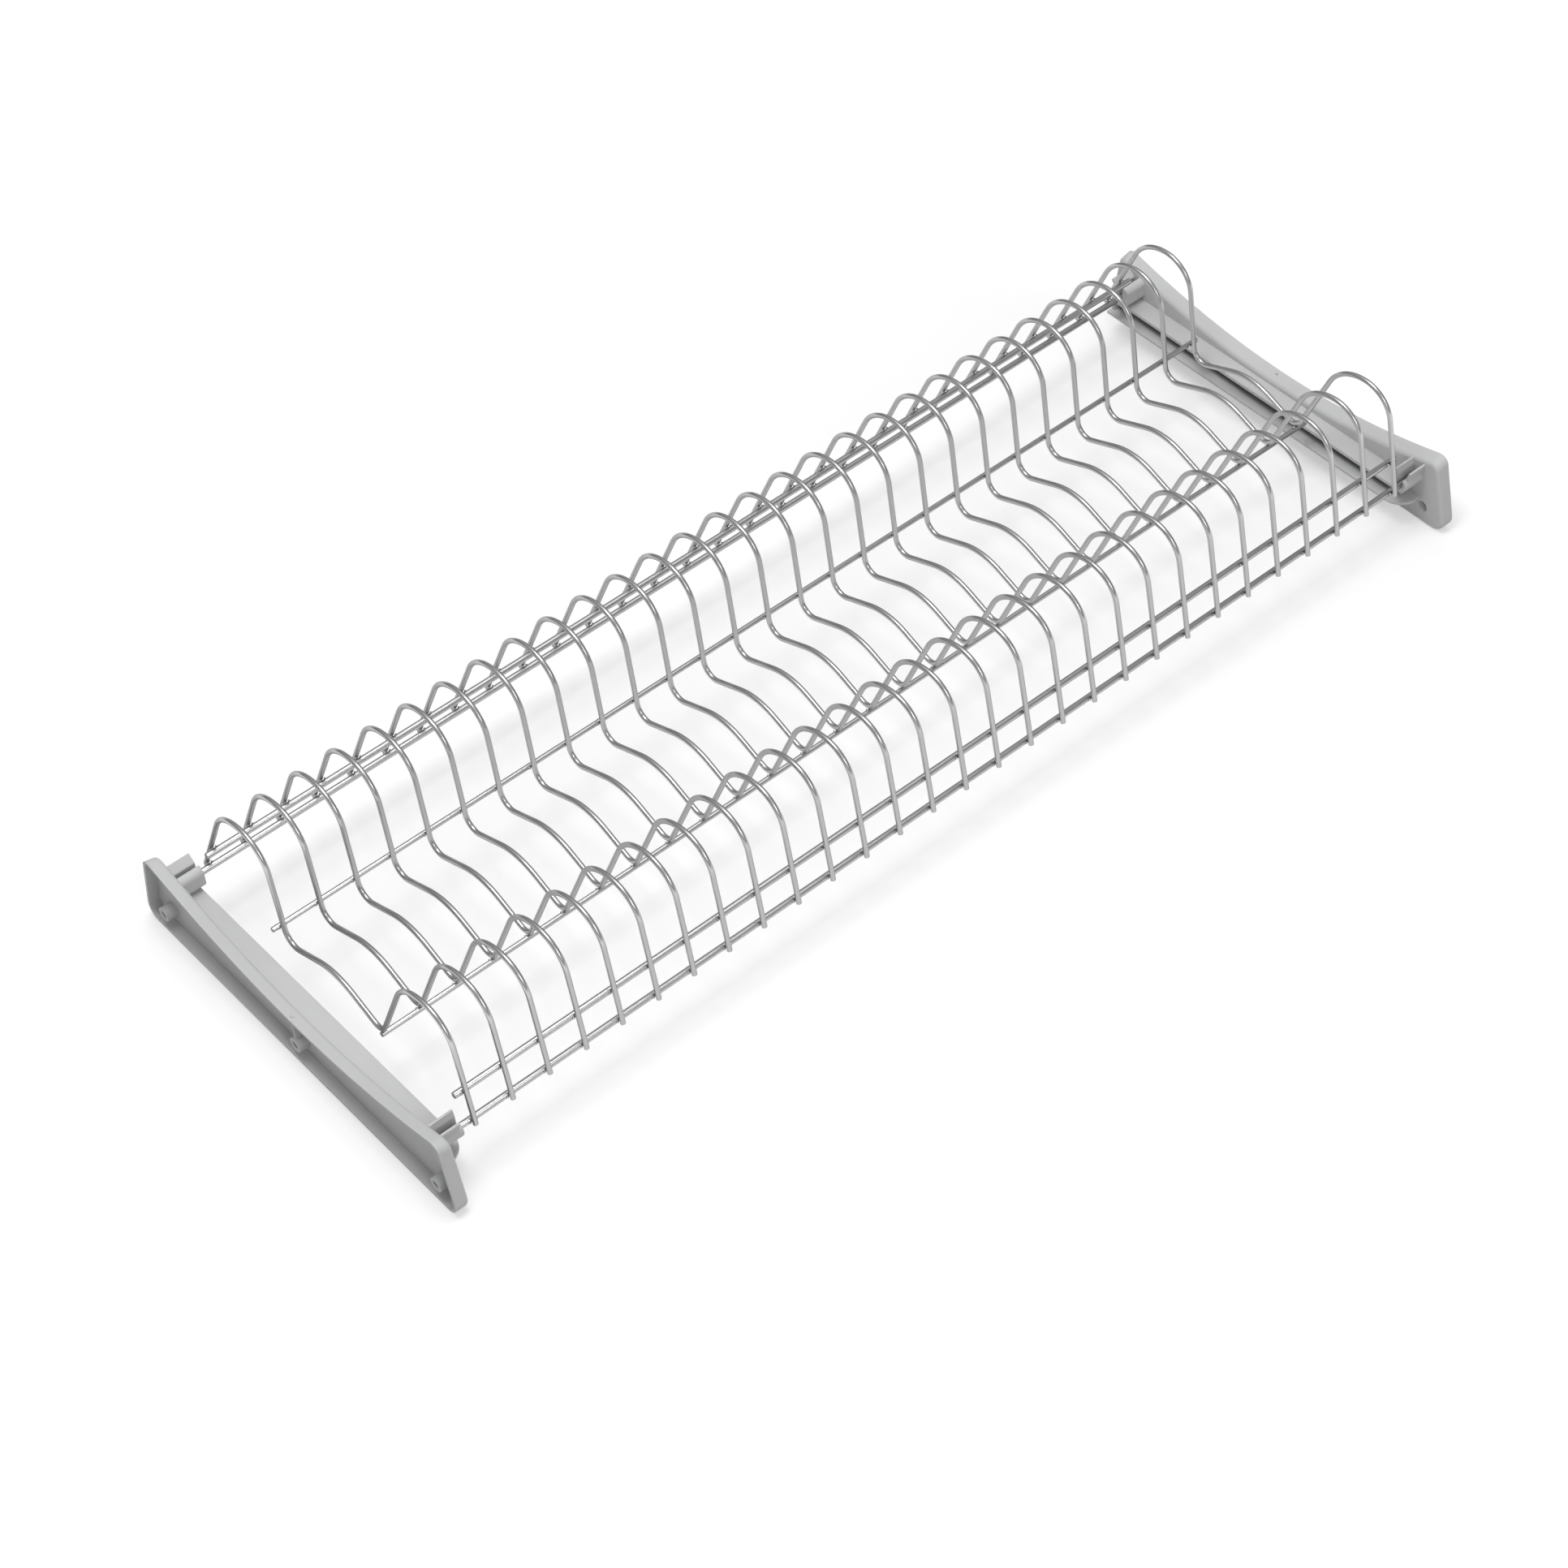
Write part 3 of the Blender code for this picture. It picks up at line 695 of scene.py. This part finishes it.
@dataclass
class LongRods:
    """The six long rods, each with cut ends that are slightly rounded, and the welds along them."""

    wires: PlateWire
    sides: int = 28
    end_round: float = 0.0005
    end_steps: int = 3
    bead_half: tuple[float, float, float] = (0.0007, 0.0009, 0.0007)
    bead_apart: float = 0.0005
    bead_spread: float = 0.16
    seed: int = 11
    rod_sharp_above: float = 50.0
    bead_sharp_above: float = 80.0

    def build(self, material: Material, bead_material: Material) -> list[Object]:
        """Make every rod and its welds.

        Args:
            material: The rods' finish.
            bead_material: The welds' finish.

        Returns:
            The rods and the rows of weld beads.
        """
        draw = random.Random(self.seed)
        pieces = []
        for rod in Rod:
            pieces.append(self._rod(rod, material))
            pieces.append(self._beads(rod, bead_material, draw))
        return pieces

    def _rod(self, rod: Rod, material: Material) -> Object:
        """Make one rod inside its node's box.

        Args:
            rod: The rod.
            material: The rod's finish.

        Returns:
            The rod.
        """
        low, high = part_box(rod.value)
        bm = bmesh.new()
        drawn = bm.verts.layers.float_vector.new(DRAWN)
        radius = (high.z - low.z) / 2
        bmesh.ops.create_cone(bm, cap_ends=True, segments=self.sides, radius1=radius, radius2=radius,
                              depth=high.x - low.x, matrix=Matrix.Rotation(math.pi / 2, 4, 'Y'))
        soften(bm, cap_rims(bm), self.end_round, self.end_steps)
        for vert in bm.verts:
            vert[drawn] = vert.co
        bmesh.ops.translate(bm, vec=(low + high) / 2, verts=bm.verts)
        bmesh.ops.recalc_face_normals(bm, faces=bm.faces)
        obj = to_object(bm, rod.value.replace("_rod", "_bar"))
        dress(obj, material, self.rod_sharp_above)
        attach(obj, RACK_BODY)
        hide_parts(rod.value)
        return obj

    def _contact(self, centre: Vector) -> tuple[Vector, Vector]:
        """Find where a wire is nearest to a rod.

        Args:
            centre: The rod's middle.

        Returns:
            The wire's nearest point and the direction from it to the rod, as (y, z).
        """
        points = self.wires.centre_line()
        rod = centre.yz
        best = None
        for start, end in zip(points, points[1:]):
            way = end - start
            share = min(1.0, max(0.0, (rod - start).dot(way) / way.length_squared))
            near = start + way * share
            if best is None or (rod - near).length < (rod - best).length:
                best = near
        return best, (rod - best).normalized()

    def _beads(self, rod: Rod, material: Material, draw: random.Random) -> Object:
        """Make the small beads of steel squeezed out beside each wire where a rod crosses it.

        Args:
            rod: The rod.
            material: The beads' finish.
            draw: The seeded source of the beads' small differences.

        Returns:
            The row of beads.
        """
        low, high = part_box(rod.value)
        centre = (low + high) / 2
        near, towards = self._contact(centre)
        gap = (centre.yz - near).length - self.wires.diameter / 2 - (high.z - low.z) / 2
        contact = near + towards * (self.wires.diameter + gap) / 2
        facing = Matrix.Rotation(math.atan2(towards.y, towards.x) - math.pi / 2, 4, 'X')
        bm = bmesh.new()
        aside = self.wires.diameter / 2 + self.bead_apart
        for i in range(2 * self.wires.count):
            sizes = [half * draw.uniform(1 - self.bead_spread, 1 + self.bead_spread)
                     for half in self.bead_half]
            x = (i // 2 - (self.wires.count - 1) / 2) * self.wires.pitch + (aside if i % 2 else -aside)
            if not low.x < x - sizes[0] < x + sizes[0] < high.x:
                continue
            place = Matrix.Translation((x, *contact)) @ facing @ Matrix.Diagonal((*sizes, 1))
            bmesh.ops.create_icosphere(bm, subdivisions=2, radius=1.0, matrix=place)
        bmesh.ops.recalc_face_normals(bm, faces=bm.faces)
        obj = to_object(bm, rod.value.replace("_rod", "_welds"))
        dress(obj, material, self.bead_sharp_above)
        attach(obj, RACK_BODY)
        return obj


# The brackets


@dataclass
class Clip:
    """A clip that holds a carrier rod: a finger behind its seat, and a lip or a block in front of it."""

    name: str
    seat_y: float
    finger_rise: float
    lead: float
    lead_start: float
    kink_round: float
    tip_round: float


@dataclass
class SideBracket:
    """A moulded side bracket. Its x runs from the cabinet's side into the room until it is placed."""

    side: Side
    carrier_height: float
    front_carrier_y: float
    rear_carrier_y: float
    wall_x: float = 0.382
    depth: float = 0.009
    wall: float = 0.002
    waist_height: float = 0.0348
    end_height: float = 0.0546
    end_margin: float = 0.0255
    end_lean: float = 0.010
    top_corner: float = 0.008
    base_corner: float = 0.009
    corner_steps: int = 8
    top_draft: float = 0.0026
    face_round: float = 0.0024
    face_steps: int = 5
    boss_height: float = 0.0128
    boss_inset: float = 0.0188
    boss_diameter: float = 0.0094
    hole_diameter: float = 0.0047
    head_diameter: float = 0.0074
    head_depth: float = 0.003
    mouth_depth: float = 0.0003
    mouth_flare: float = 0.0006
    rib_thickness: float = 0.0012
    rib_setback: float = 0.001
    ledge_drop: float = 0.0068
    ledge_thickness: float = 0.0025
    ledge_reach: float = 0.0125
    shelf_top: float = 0.019
    shelf_thickness: float = 0.002
    shelf_reach: float = 0.016
    shelf_front_run: float = 0.0041
    shelf_corner: float = 0.013
    shelf_corner_steps: int = 14
    shelf_rear_lip: float = 0.0006
    stop_thickness: float = 0.0025
    rear_run: float = 0.0102
    carrier_diameter: float = 0.004
    seat_clearance: float = 0.0003
    seat_overlap: float = 0.0002
    seat_start: float = 0.00005
    clip_wall: float = 0.0015
    clip_reach: float = 0.015
    lip_reach: float = 0.0128
    barrel_radius: float = 0.0052
    barrel_round: float = 0.0006
    barrel_steps: int = 3
    barrel_sides: int = 48
    lip_rise: float = 0.0108
    lip_lead: float = 0.0026
    lip_kink: float = 0.0034
    lip_round: float = 0.0030
    lip_tip_round: float = 0.0007
    block_rise: float = 0.0092
    block_thickness: float = 0.0046
    block_round: float = 0.0040
    block_foot: float = 0.0015
    block_belly: float = 0.0034
    clip_corner_steps: int = 6
    clip_soft_above: float = 50.0
    slot_rise: float = 0.016
    window_height: float = 0.0045
    window_drop: float = 0.0023
    window_half_width: float = 0.0024
    window_shift: float = 0.0004
    sink: float = 0.0005
    overrun: float = 0.001
    top_cuts: int = 39
    disc_sides: int = 32
    edge_round: float = 0.00035
    gate_y: float = 0.0015
    gate_x: tuple[float, float] = (0.0022, 0.0040)
    gate_radius: float = 0.0011
    gate_sunk_share: float = 0.9
    gate_round: float = 0.0002
    merge_distance: float = 0.000005
    sharp_above: float = 35.0

    def __post_init__(self) -> None:
        """Work out the places that follow from the sizes."""
        self.base_half = max(self.rear_carrier_y, -self.front_carrier_y) + self.end_margin
        self.top_half = self.base_half - self.end_lean
        self.boss_y = self.base_half - self.boss_inset
        self.rear_end_y = self.rear_carrier_y + self.rear_run
        self.seat_radius = self.carrier_diameter / 2 + self.seat_clearance
        self.clip_side = self.seat_radius + self.clip_wall
        self.root = self.depth - self.sink
        self.clip_end = self.depth + self.clip_reach
        self.lip_end = self.depth + self.lip_reach
        self.ledge_top = self.carrier_height - self.ledge_drop
        self.clip_foot = -self.ledge_drop - self.sink
        self.front_clip = Clip("front", self.front_carrier_y, finger_rise=0.0110, lead=0.0012,
                               lead_start=0.0060, kink_round=0.008, tip_round=0.0007)
        self.rear_clip = Clip("rear", self.rear_carrier_y, finger_rise=0.0113, lead=0.0048,
                              lead_start=0.0073, kink_round=0.002, tip_round=0.0012)

    def _top_at(self, y: float) -> float:
        """Return the height of the dished top edge, at the cabinet's side."""
        return self.waist_height + (self.end_height - self.waist_height) * (y / self.top_half) ** 2

    def _shell(self) -> Object:
        """Make the shallow shell, open to the cabinet's side, whose top falls to the room.

        Returns:
            The shell.
        """
        bm = bmesh.new()
        flat_face(bm, [(0, -self.base_half, 0), (0, self.base_half, 0),
                       (0, self.top_half, self.end_height), (0, -self.top_half, self.end_height)])
        for vert in list(bm.verts):
            radius = self.top_corner if vert.co.z > 0 else self.base_corner
            round_corner(bm, vert, radius, self.corner_steps)
        top = [edge for edge in bm.edges if all(abs(v.co.z - self.end_height) < NEAR for v in edge.verts)]
        bmesh.ops.subdivide_edges(bm, edges=top, cuts=self.top_cuts)
        for vert in bm.verts:
            vert.co.z *= self._top_at(vert.co.y) / self.end_height
        push(bm, (self.depth, 0, 0))
        face = next(f for f in bm.faces if all(v.co.x > self.wall for v in f.verts))
        soften(bm, face.edges, self.face_round, self.face_steps)
        rim = next(f for f in bm.faces if all(abs(v.co.x) < NEAR for v in f.verts))
        outer = list(rim.edges)
        bmesh.ops.inset_region(bm, faces=[rim], thickness=self.wall, use_even_offset=True)
        inner = list(rim.edges)
        floor = new_faces(bmesh.ops.extrude_discrete_faces(bm, faces=[rim])["faces"])[0]
        bmesh.ops.translate(bm, vec=(self.depth - self.wall, 0, 0), verts=floor.verts)
        soften(bm, outer + inner, self.edge_round)
        for vert in bm.verts:
            fall = vert.co.x / self.depth * vert.co.z / self._top_at(vert.co.y)
            vert.co.z -= self.top_draft * fall
        bmesh.ops.recalc_face_normals(bm, faces=bm.faces)
        return to_object(bm, "shell")

    def _block(self, name: str, low: Iterable[float], high: Iterable[float], soft: bool = True) -> Object:
        """Make a block between two corners.

        Args:
            name: The block's name.
            low: Its lowest corner.
            high: Its highest corner.
            soft: Whether its edges are rounded.

        Returns:
            The block.
        """
        low, high = Vector(low), Vector(high)
        bm = bmesh.new()
        bmesh.ops.create_cube(bm, size=1.0, matrix=Matrix.Translation((low + high) / 2)
                              @ Matrix.Diagonal((*(high - low), 1)))
        if soft:
            soften(bm, bm.edges, self.edge_round)
        return to_object(bm, name)

    def _disc(self, name: str, y: float, z: float, radii: tuple[float, float], start: float, end: float,
              width: float = 0.0) -> Object:
        """Make a round plug along x.

        Args:
            name: The plug's name.
            y: Its place along the bracket.
            z: Its height.
            radii: Its radii at its start and at its end.
            start: The x of its start.
            end: The x of its end.
            width: How far its rims are rounded.

        Returns:
            The plug.
        """
        bm = bmesh.new()
        place = Matrix.Translation(((start + end) / 2, y, z)) @ Matrix.Rotation(math.pi / 2, 4, 'Y')
        bmesh.ops.create_cone(bm, cap_ends=True, segments=self.disc_sides, radius1=radii[0],
                              radius2=radii[1], depth=end - start, matrix=place)
        if width:
            soften(bm, cap_rims(bm), width)
        return to_object(bm, name)

    def _ledge(self) -> Object:
        """Make the ledge over the tray's groove, with the stop at the groove's rear end.

        Returns:
            The ledge.
        """
        under = self.ledge_top - self.ledge_thickness
        foot, stop = self.shelf_top - self.sink, self.rear_end_y - self.stop_thickness
        bm = bmesh.new()
        corners = ((self.front_carrier_y, under), (self.front_carrier_y, self.ledge_top),
                   (self.rear_end_y, self.ledge_top), (self.rear_end_y, foot), (stop, foot), (stop, under))
        flat_face(bm, [(self.root, y, z) for y, z in corners])
        push(bm, (self.depth + self.ledge_reach - self.root, 0, 0))
        soften(bm, bm.edges, self.edge_round)
        return to_object(bm, "ledge")

    def _shelf(self) -> Object:
        """Make the shelf under the groove, with one rounded front corner seen from above.

        Returns:
            The shelf.
        """
        reach, rear = self.depth + self.shelf_reach, self.rear_end_y + self.shelf_rear_lip
        front = self.front_carrier_y - self.shelf_front_run
        under = self.shelf_top - self.shelf_thickness
        bm = bmesh.new()
        flat_face(bm, [(self.root, rear, under), (reach, rear, under), (reach, front, under),
                       (self.root, front, under)])
        corner = max(bm.verts, key=lambda vert: vert.co.x - vert.co.y)
        round_corner(bm, corner, self.shelf_corner, self.shelf_corner_steps)
        push(bm, (0, 0, self.shelf_thickness))
        soften(bm, bm.edges, self.edge_round)
        return to_object(bm, "shelf")

    def _part_of_clip(self, clip: Clip, name: str, end: float,
                      corners: Iterable[tuple[float, float, float]]) -> Object:
        """Make a piece of a clip by pushing its side outline along x.

        Args:
            clip: The clip.
            name: The piece's name.
            end: How far into the room it reaches.
            corners: Its corners as (y, z, radius) from the seat's centre, with radius 0 for a sharp one.

        Returns:
            The piece.
        """
        bm = bmesh.new()
        flat_face(bm, [(self.root, clip.seat_y + y, self.carrier_height + z) for y, z, _ in corners])
        for vert, (_, _, radius) in zip(list(bm.verts), corners):
            if radius:
                round_corner(bm, vert, radius, self.clip_corner_steps)
        push(bm, (end - self.root, 0, 0))
        sharp = [edge for edge in bm.edges
                 if edge.calc_face_angle(0) > math.radians(self.clip_soft_above)]
        soften(bm, sharp, self.edge_round)
        return to_object(bm, f"{clip.name}_{name}")

    def _finger(self, clip: Clip) -> Object:
        """Make the finger behind a seat, which stands on the ledge and leans away at its top.

        Args:
            clip: The clip.

        Returns:
            The finger.
        """
        inner, outer = self.seat_radius - self.seat_overlap, self.clip_side
        return self._part_of_clip(clip, "finger", self.clip_end, (
            (inner, self.clip_foot, 0), (outer, self.clip_foot, 0),
            (outer, clip.lead_start - clip.lead / 2, clip.kink_round),
            (outer + clip.lead, clip.finger_rise, clip.tip_round), (inner + clip.lead, clip.finger_rise, 0),
            (inner, clip.lead_start, clip.kink_round)))

    def _lip(self, clip: Clip) -> Object:
        """Make the lip in front of a seat, which leans away at its top like the finger.

        Args:
            clip: The clip.

        Returns:
            The lip.
        """
        inner, outer = self.seat_radius - self.seat_overlap, self.clip_side
        return self._part_of_clip(clip, "lip", self.lip_end, (
            (-outer, -self.sink, 0), (-inner, -self.sink, 0), (-inner, self.lip_kink, self.lip_round),
            (-inner - self.lip_lead, self.lip_rise, 0),
            (-outer - self.lip_lead, self.lip_rise, self.lip_tip_round),
            (-outer, self.lip_kink - self.lip_lead / 3, self.lip_round)))

    def _rounded_block(self, clip: Clip) -> Object:
        """Make the block in front of a seat and under it, with a rounded top.

        Args:
            clip: The clip.

        Returns:
            The block.
        """
        front, back = -self.seat_radius - self.block_thickness, (self.seat_radius + self.clip_side) / 2
        return self._part_of_clip(clip, "block", self.clip_end, (
            (-self.block_foot, self.clip_foot, 0), (back, self.clip_foot, 0), (back, self.sink, 0),
            (0, self.sink, 0), (0, self.block_rise, 0), (front, self.block_rise, self.block_round),
            (front, -self.block_belly, self.block_round)))

    def _barrel(self, clip: Clip) -> Object:
        """Make the round barrel under a seat, cut flat where it meets the finger.

        Args:
            clip: The clip.

        Returns:
            The barrel.
        """
        bm = bmesh.new()
        place = Matrix.Translation(((self.root + self.clip_end) / 2, clip.seat_y, self.carrier_height))
        bmesh.ops.create_cone(bm, cap_ends=True, segments=self.barrel_sides, radius1=self.barrel_radius,
                              radius2=self.barrel_radius, depth=self.clip_end - self.root,
                              matrix=place @ Matrix.Rotation(math.pi / 2, 4, 'Y'))
        end = [edge for edge in bm.edges if all(vert.co.x > self.depth for vert in edge.verts)]
        soften(bm, end, self.barrel_round, self.barrel_steps)
        bmesh.ops.bisect_plane(bm, geom=[*bm.verts, *bm.edges, *bm.faces], clear_outer=True,
                               plane_co=(0, clip.seat_y + (self.seat_radius + self.clip_side) / 2, 0),
                               plane_no=(0, 1, 0))
        bmesh.ops.contextual_create(bm, geom=[edge for edge in bm.edges if edge.is_boundary])
        bmesh.ops.recalc_face_normals(bm, faces=bm.faces)
        return to_object(bm, f"{clip.name}_barrel")

    def _slot(self, clip: Clip) -> list[Object]:
        """Make the cuts that open a clip: the rod's round seat and the slot above it.

        Args:
            clip: The clip.

        Returns:
            The two cuts.
        """
        near, far = self.depth + self.seat_start, self.clip_end + self.overrun
        low = (near, clip.seat_y - self.seat_radius, self.carrier_height)
        high = (far, clip.seat_y + self.seat_radius, self.carrier_height + self.slot_rise)
        radii = (self.seat_radius, self.seat_radius)
        return [self._disc(f"{clip.name}_seat", clip.seat_y, self.carrier_height, radii, near, far),
                self._block(f"{clip.name}_slot", low, high, soft=False)]

    def _rib(self) -> Object:
        """Make the thin rib from the middle boss up to the sloping top wall.

        Returns:
            The rib.
        """
        low = self.boss_height + self.boss_diameter / 2 - self.sink
        high = self.waist_height - self.wall + self.sink
        deep = self.depth - self.wall + self.sink
        slope = self.top_draft / self.depth
        bm = bmesh.new()
        flat_face(bm, [(x, -self.rib_thickness / 2, z) for x, z in (
            (self.rib_setback, low), (deep, low), (deep, high - slope * deep),
            (self.rib_setback, high - slope * self.rib_setback))])
        push(bm, (0, self.rib_thickness, 0))
        soften(bm, bm.edges, self.edge_round / 2)
        return to_object(bm, "rib")

    def _joined(self) -> list[Object]:
        """Make the solids that are joined to the shell.

        Returns:
            The solids.
        """
        parts = [self._ledge(), self._shelf(), self._rib(), self._finger(self.front_clip),
                 self._lip(self.front_clip), self._barrel(self.front_clip), self._finger(self.rear_clip),
                 self._rounded_block(self.rear_clip)]
        boss, gate = (self.boss_diameter / 2,) * 2, (self.gate_radius,) * 2
        parts += [self._disc(f"boss_{i}", y, self.boss_height, boss, 0, self.depth - self.wall + self.sink,
                             self.edge_round) for i, y in enumerate(self._hole_places())]
        gate_z = self._top_at(self.gate_y) - self.gate_radius * self.gate_sunk_share
        return [*parts, self._disc("gate", self.gate_y, gate_z, gate, *self.gate_x, self.gate_round)]

    def _cuts(self) -> list[Object]:
        """Make the solids that are cut out of the bracket.

        Returns:
            The solids.
        """
        cuts = self._slot(self.front_clip) + self._slot(self.rear_clip)
        hole, head, face = self.hole_diameter / 2, self.head_diameter / 2, self.depth
        bores = (("hole", (hole, hole), -self.overrun, face + self.overrun),
                 ("head", (head, head), face - self.head_depth, face + self.overrun),
                 ("hole_mouth", (hole + self.mouth_flare, hole), -self.mouth_depth, self.mouth_depth),
                 ("head_mouth", (head, head + self.mouth_flare), face - self.mouth_depth,
                  face + self.mouth_depth))
        for i, y in enumerate(self._hole_places()):
            cuts += [self._disc(f"{name}_{i}", y, self.boss_height, radii, near, far)
                     for name, radii, near, far in bores]
        middle = self.front_carrier_y - self.window_shift
        low = self.carrier_height - self.window_drop
        cuts.append(self._block(
            "window", (self.depth - self.wall - self.overrun, middle - self.window_half_width, low),
            (self.depth + self.sink, middle + self.window_half_width, low + self.window_height)))
        return cuts

    def _hole_places(self) -> tuple[float, float, float]:
        """Return the screw holes' places along the bracket."""
        return -self.boss_y, 0.0, self.boss_y

    @staticmethod
    def _boolean(target: Object, tools: list[Object], operation: str) -> None:
        """Join or cut the target with closed solids.

        Args:
            target: The solid that is changed.
            tools: The solids that are joined to it or cut out of it.
            operation: The boolean operation's name.
        """
        guides = bpy.data.collections.new(f"{target.name}_{operation.lower()}")
        for tool in tools:
            guides.objects.link(tool)
        modifier = target.modifiers.new(operation.lower(), 'BOOLEAN')
        modifier.operand_type = 'COLLECTION'
        modifier.collection = guides
        modifier.operation = operation
        modifier.solver = 'EXACT'

    def build(self, material: Material) -> Object:
        """Make the bracket as one closed mesh at its side of the cabinet.

        Args:
            material: The bracket's finish.

        Returns:
            The bracket.
        """
        label = self.side.name.lower()
        shell = self._shell()
        joined, cuts = self._joined(), self._cuts()
        self._boolean(shell, joined, 'UNION')
        self._boolean(shell, cuts, 'DIFFERENCE')
        made = bpy.data.meshes.new_from_object(shell.evaluated_get(bpy.context.evaluated_depsgraph_get()))
        for tool in (shell, *joined, *cuts):
            bpy.data.objects.remove(tool)
        bm = bmesh.new()
        bm.from_mesh(made)
        bmesh.ops.remove_doubles(bm, verts=bm.verts, dist=self.merge_distance)
        bmesh.ops.dissolve_degenerate(bm, dist=self.merge_distance, edges=bm.edges)
        bmesh.ops.scale(bm, vec=(-self.side.value, 1, 1), verts=bm.verts)
        bmesh.ops.translate(bm, vec=(self.side.value * self.wall_x, 0, 0), verts=bm.verts)
        bmesh.ops.recalc_face_normals(bm, faces=bm.faces)
        bracket = to_object(bm, f"{label}_side_bracket")
        dress(bracket, material, self.sharp_above)
        weighted = bracket.modifiers.new("flat_faces", 'WEIGHTED_NORMAL')
        weighted.keep_sharp = True
        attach(bracket, BRACKET_BODY)
        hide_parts(f"{label}_bracket")
        return bracket


# The studio


@dataclass
class SoftLamp:
    """A soft box that points at the middle of the rack."""

    name: str
    place: tuple[float, float, float]
    size: tuple[float, float]
    power: float

    def build(self) -> Object:
        """Hang the lamp.

        Returns:
            The lamp.
        """
        lamp = bpy.data.lights.new(self.name, 'AREA')
        lamp.shape = 'RECTANGLE'
        lamp.size, lamp.size_y = self.size
        lamp.energy = self.power
        obj = bpy.data.objects.new(self.name, lamp)
        obj.location = self.place
        obj.rotation_euler = (-Vector(self.place)).to_track_quat('-Z', 'Y').to_euler()
        bpy.context.scene.collection.objects.link(obj)
        return obj


@dataclass
class Studio:
    """The pale floor, the soft lamps, the dim room round them and the camera."""

    floor_half: float = 7.0
    floor_drop: float = 0.0002
    floor_colour: tuple[float, float, float] = (0.56, 0.56, 0.56)
    floor_glow: float = 0.42
    white_from: tuple[float, float] = (0.38, 0.66)
    room_light: tuple[tuple[float, float], ...] = ((0.0, 0.04), (0.10, 0.04), (0.28, 0.42), (1.0, 0.50))
    camera_place: tuple[float, float, float] = (-0.94749, -1.2034, 1.60308)
    camera_azimuth: float = -37.217
    camera_elevation: float = 47.331
    camera_roll: float = -4.449
    lens: float = 86.158
    sensor_width: float = 36.0
    view_range: tuple[float, float] = (0.05, 50.0)
    lamps: tuple[SoftLamp, ...] = (
        SoftLamp("key_lamp", (-0.35, 0.1, 2.1), (0.8, 0.8), 20.0),
        SoftLamp("strip_lamp", (0.55, -0.25, 2.3), (1.3, 0.5), 4.0),
        SoftLamp("ceiling_panel", (0.6, 0.7, 2.3), (2.2, 1.6), 5.0),
        SoftLamp("front_lamp", (-0.5, -1.8, 1.4), (0.8, 0.8), 11.0),
    )

    def build(self) -> None:
        """Set up everything round the object."""
        self._floor()
        self._room()
        for lamp in self.lamps:
            lamp.build()
        self._camera()

    def _floor(self) -> None:
        """Lay the floor, which shows white where no shadow falls and everywhere far from the rack."""
        bm = bmesh.new()
        bmesh.ops.create_grid(bm, x_segments=1, y_segments=1, size=self.floor_half)
        bmesh.ops.translate(bm, vec=(0, 0, -self.floor_drop), verts=bm.verts)
        floor = to_object(bm, "floor")
        material = bpy.data.materials.new("pale_floor")
        graph = ShaderGraph(material)
        rays = sum((graph.node("ShaderNodeLightPath", output=name) for name in
                    ("Is Camera Ray", "Is Glossy Ray", "Is Transmission Ray")), start=0.0)
        matt = graph.node("ShaderNodeBsdfDiffuse", None, {"Color": (*self.floor_colour, 1)})
        place = graph.node("ShaderNodeTexCoord", output="Object")
        away = graph.node("ShaderNodeVectorMath", {"operation": 'LENGTH'}, {0: place}, output="Value")
        strength = graph.node("ShaderNodeMapRange", {"interpolation_type": 'SMOOTHSTEP'}, {
            "Value": away, "From Min": self.white_from[0], "From Max": self.white_from[1],
            "To Min": self.floor_glow, "To Max": 1.0})
        glow = graph.node("ShaderNodeEmission", None, {"Strength": rays * strength})
        graph.finish(graph.node("ShaderNodeAddShader", None, {0: matt, 1: glow}))
        floor.data.materials.append(material)

    def _room(self) -> None:
        """Light the room dimly at its horizon and more above."""
        world = bpy.data.worlds.new("room")
        bpy.context.scene.world = world
        graph = ShaderGraph(world)
        place = graph.node("ShaderNodeTexCoord", output="Generated")
        height = graph.node("ShaderNodeSeparateXYZ", None, {0: place}, output="Z")
        light = graph.ramp(height, self.room_light)
        graph.finish(graph.node("ShaderNodeBackground", None, {"Color": light}), "ShaderNodeOutputWorld")

    def _camera(self) -> None:
        """Set the camera at the picture's viewpoint."""
        azimuth, elevation = math.radians(self.camera_azimuth), math.radians(self.camera_elevation)
        turn = (Matrix.Rotation(azimuth, 4, 'Z') @ Matrix.Rotation(math.pi / 2 - elevation, 4, 'X')
                @ Matrix.Rotation(math.radians(self.camera_roll), 4, 'Z'))
        camera = bpy.data.cameras.new("camera")
        camera.sensor_width = self.sensor_width
        camera.lens = self.lens
        camera.clip_start, camera.clip_end = self.view_range
        obj = bpy.data.objects.new("camera", camera)
        obj.matrix_world = Matrix.Translation(self.camera_place) @ turn
        bpy.context.scene.collection.objects.link(obj)
        bpy.context.scene.camera = obj


def main() -> None:
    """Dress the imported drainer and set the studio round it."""
    logging.basicConfig(level=logging.INFO, format="%(message)s")
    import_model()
    bpy.context.scene.view_settings.view_transform = 'Standard'
    wires = PlateWire()
    pieces = wires.build(WIRE_STEEL.make())
    pieces += LongRods(wires).build(ROD_STEEL.make(), BEAD_STEEL.make())
    plastic = GREY_PLASTIC.make()
    front = sum(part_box(Rod.FRONT_CARRIER.value), Vector()) / 2
    rear = sum(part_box(Rod.REAR_CARRIER.value), Vector()) / 2
    for side in Side:
        pieces.append(SideBracket(side, front.z, front.y, rear.y).build(plastic))
    for piece in pieces:
        LOG.info("%s: %d faces", piece.name, len(piece.data.polygons))
    Studio().build()


if __name__ == "__main__":
    main()
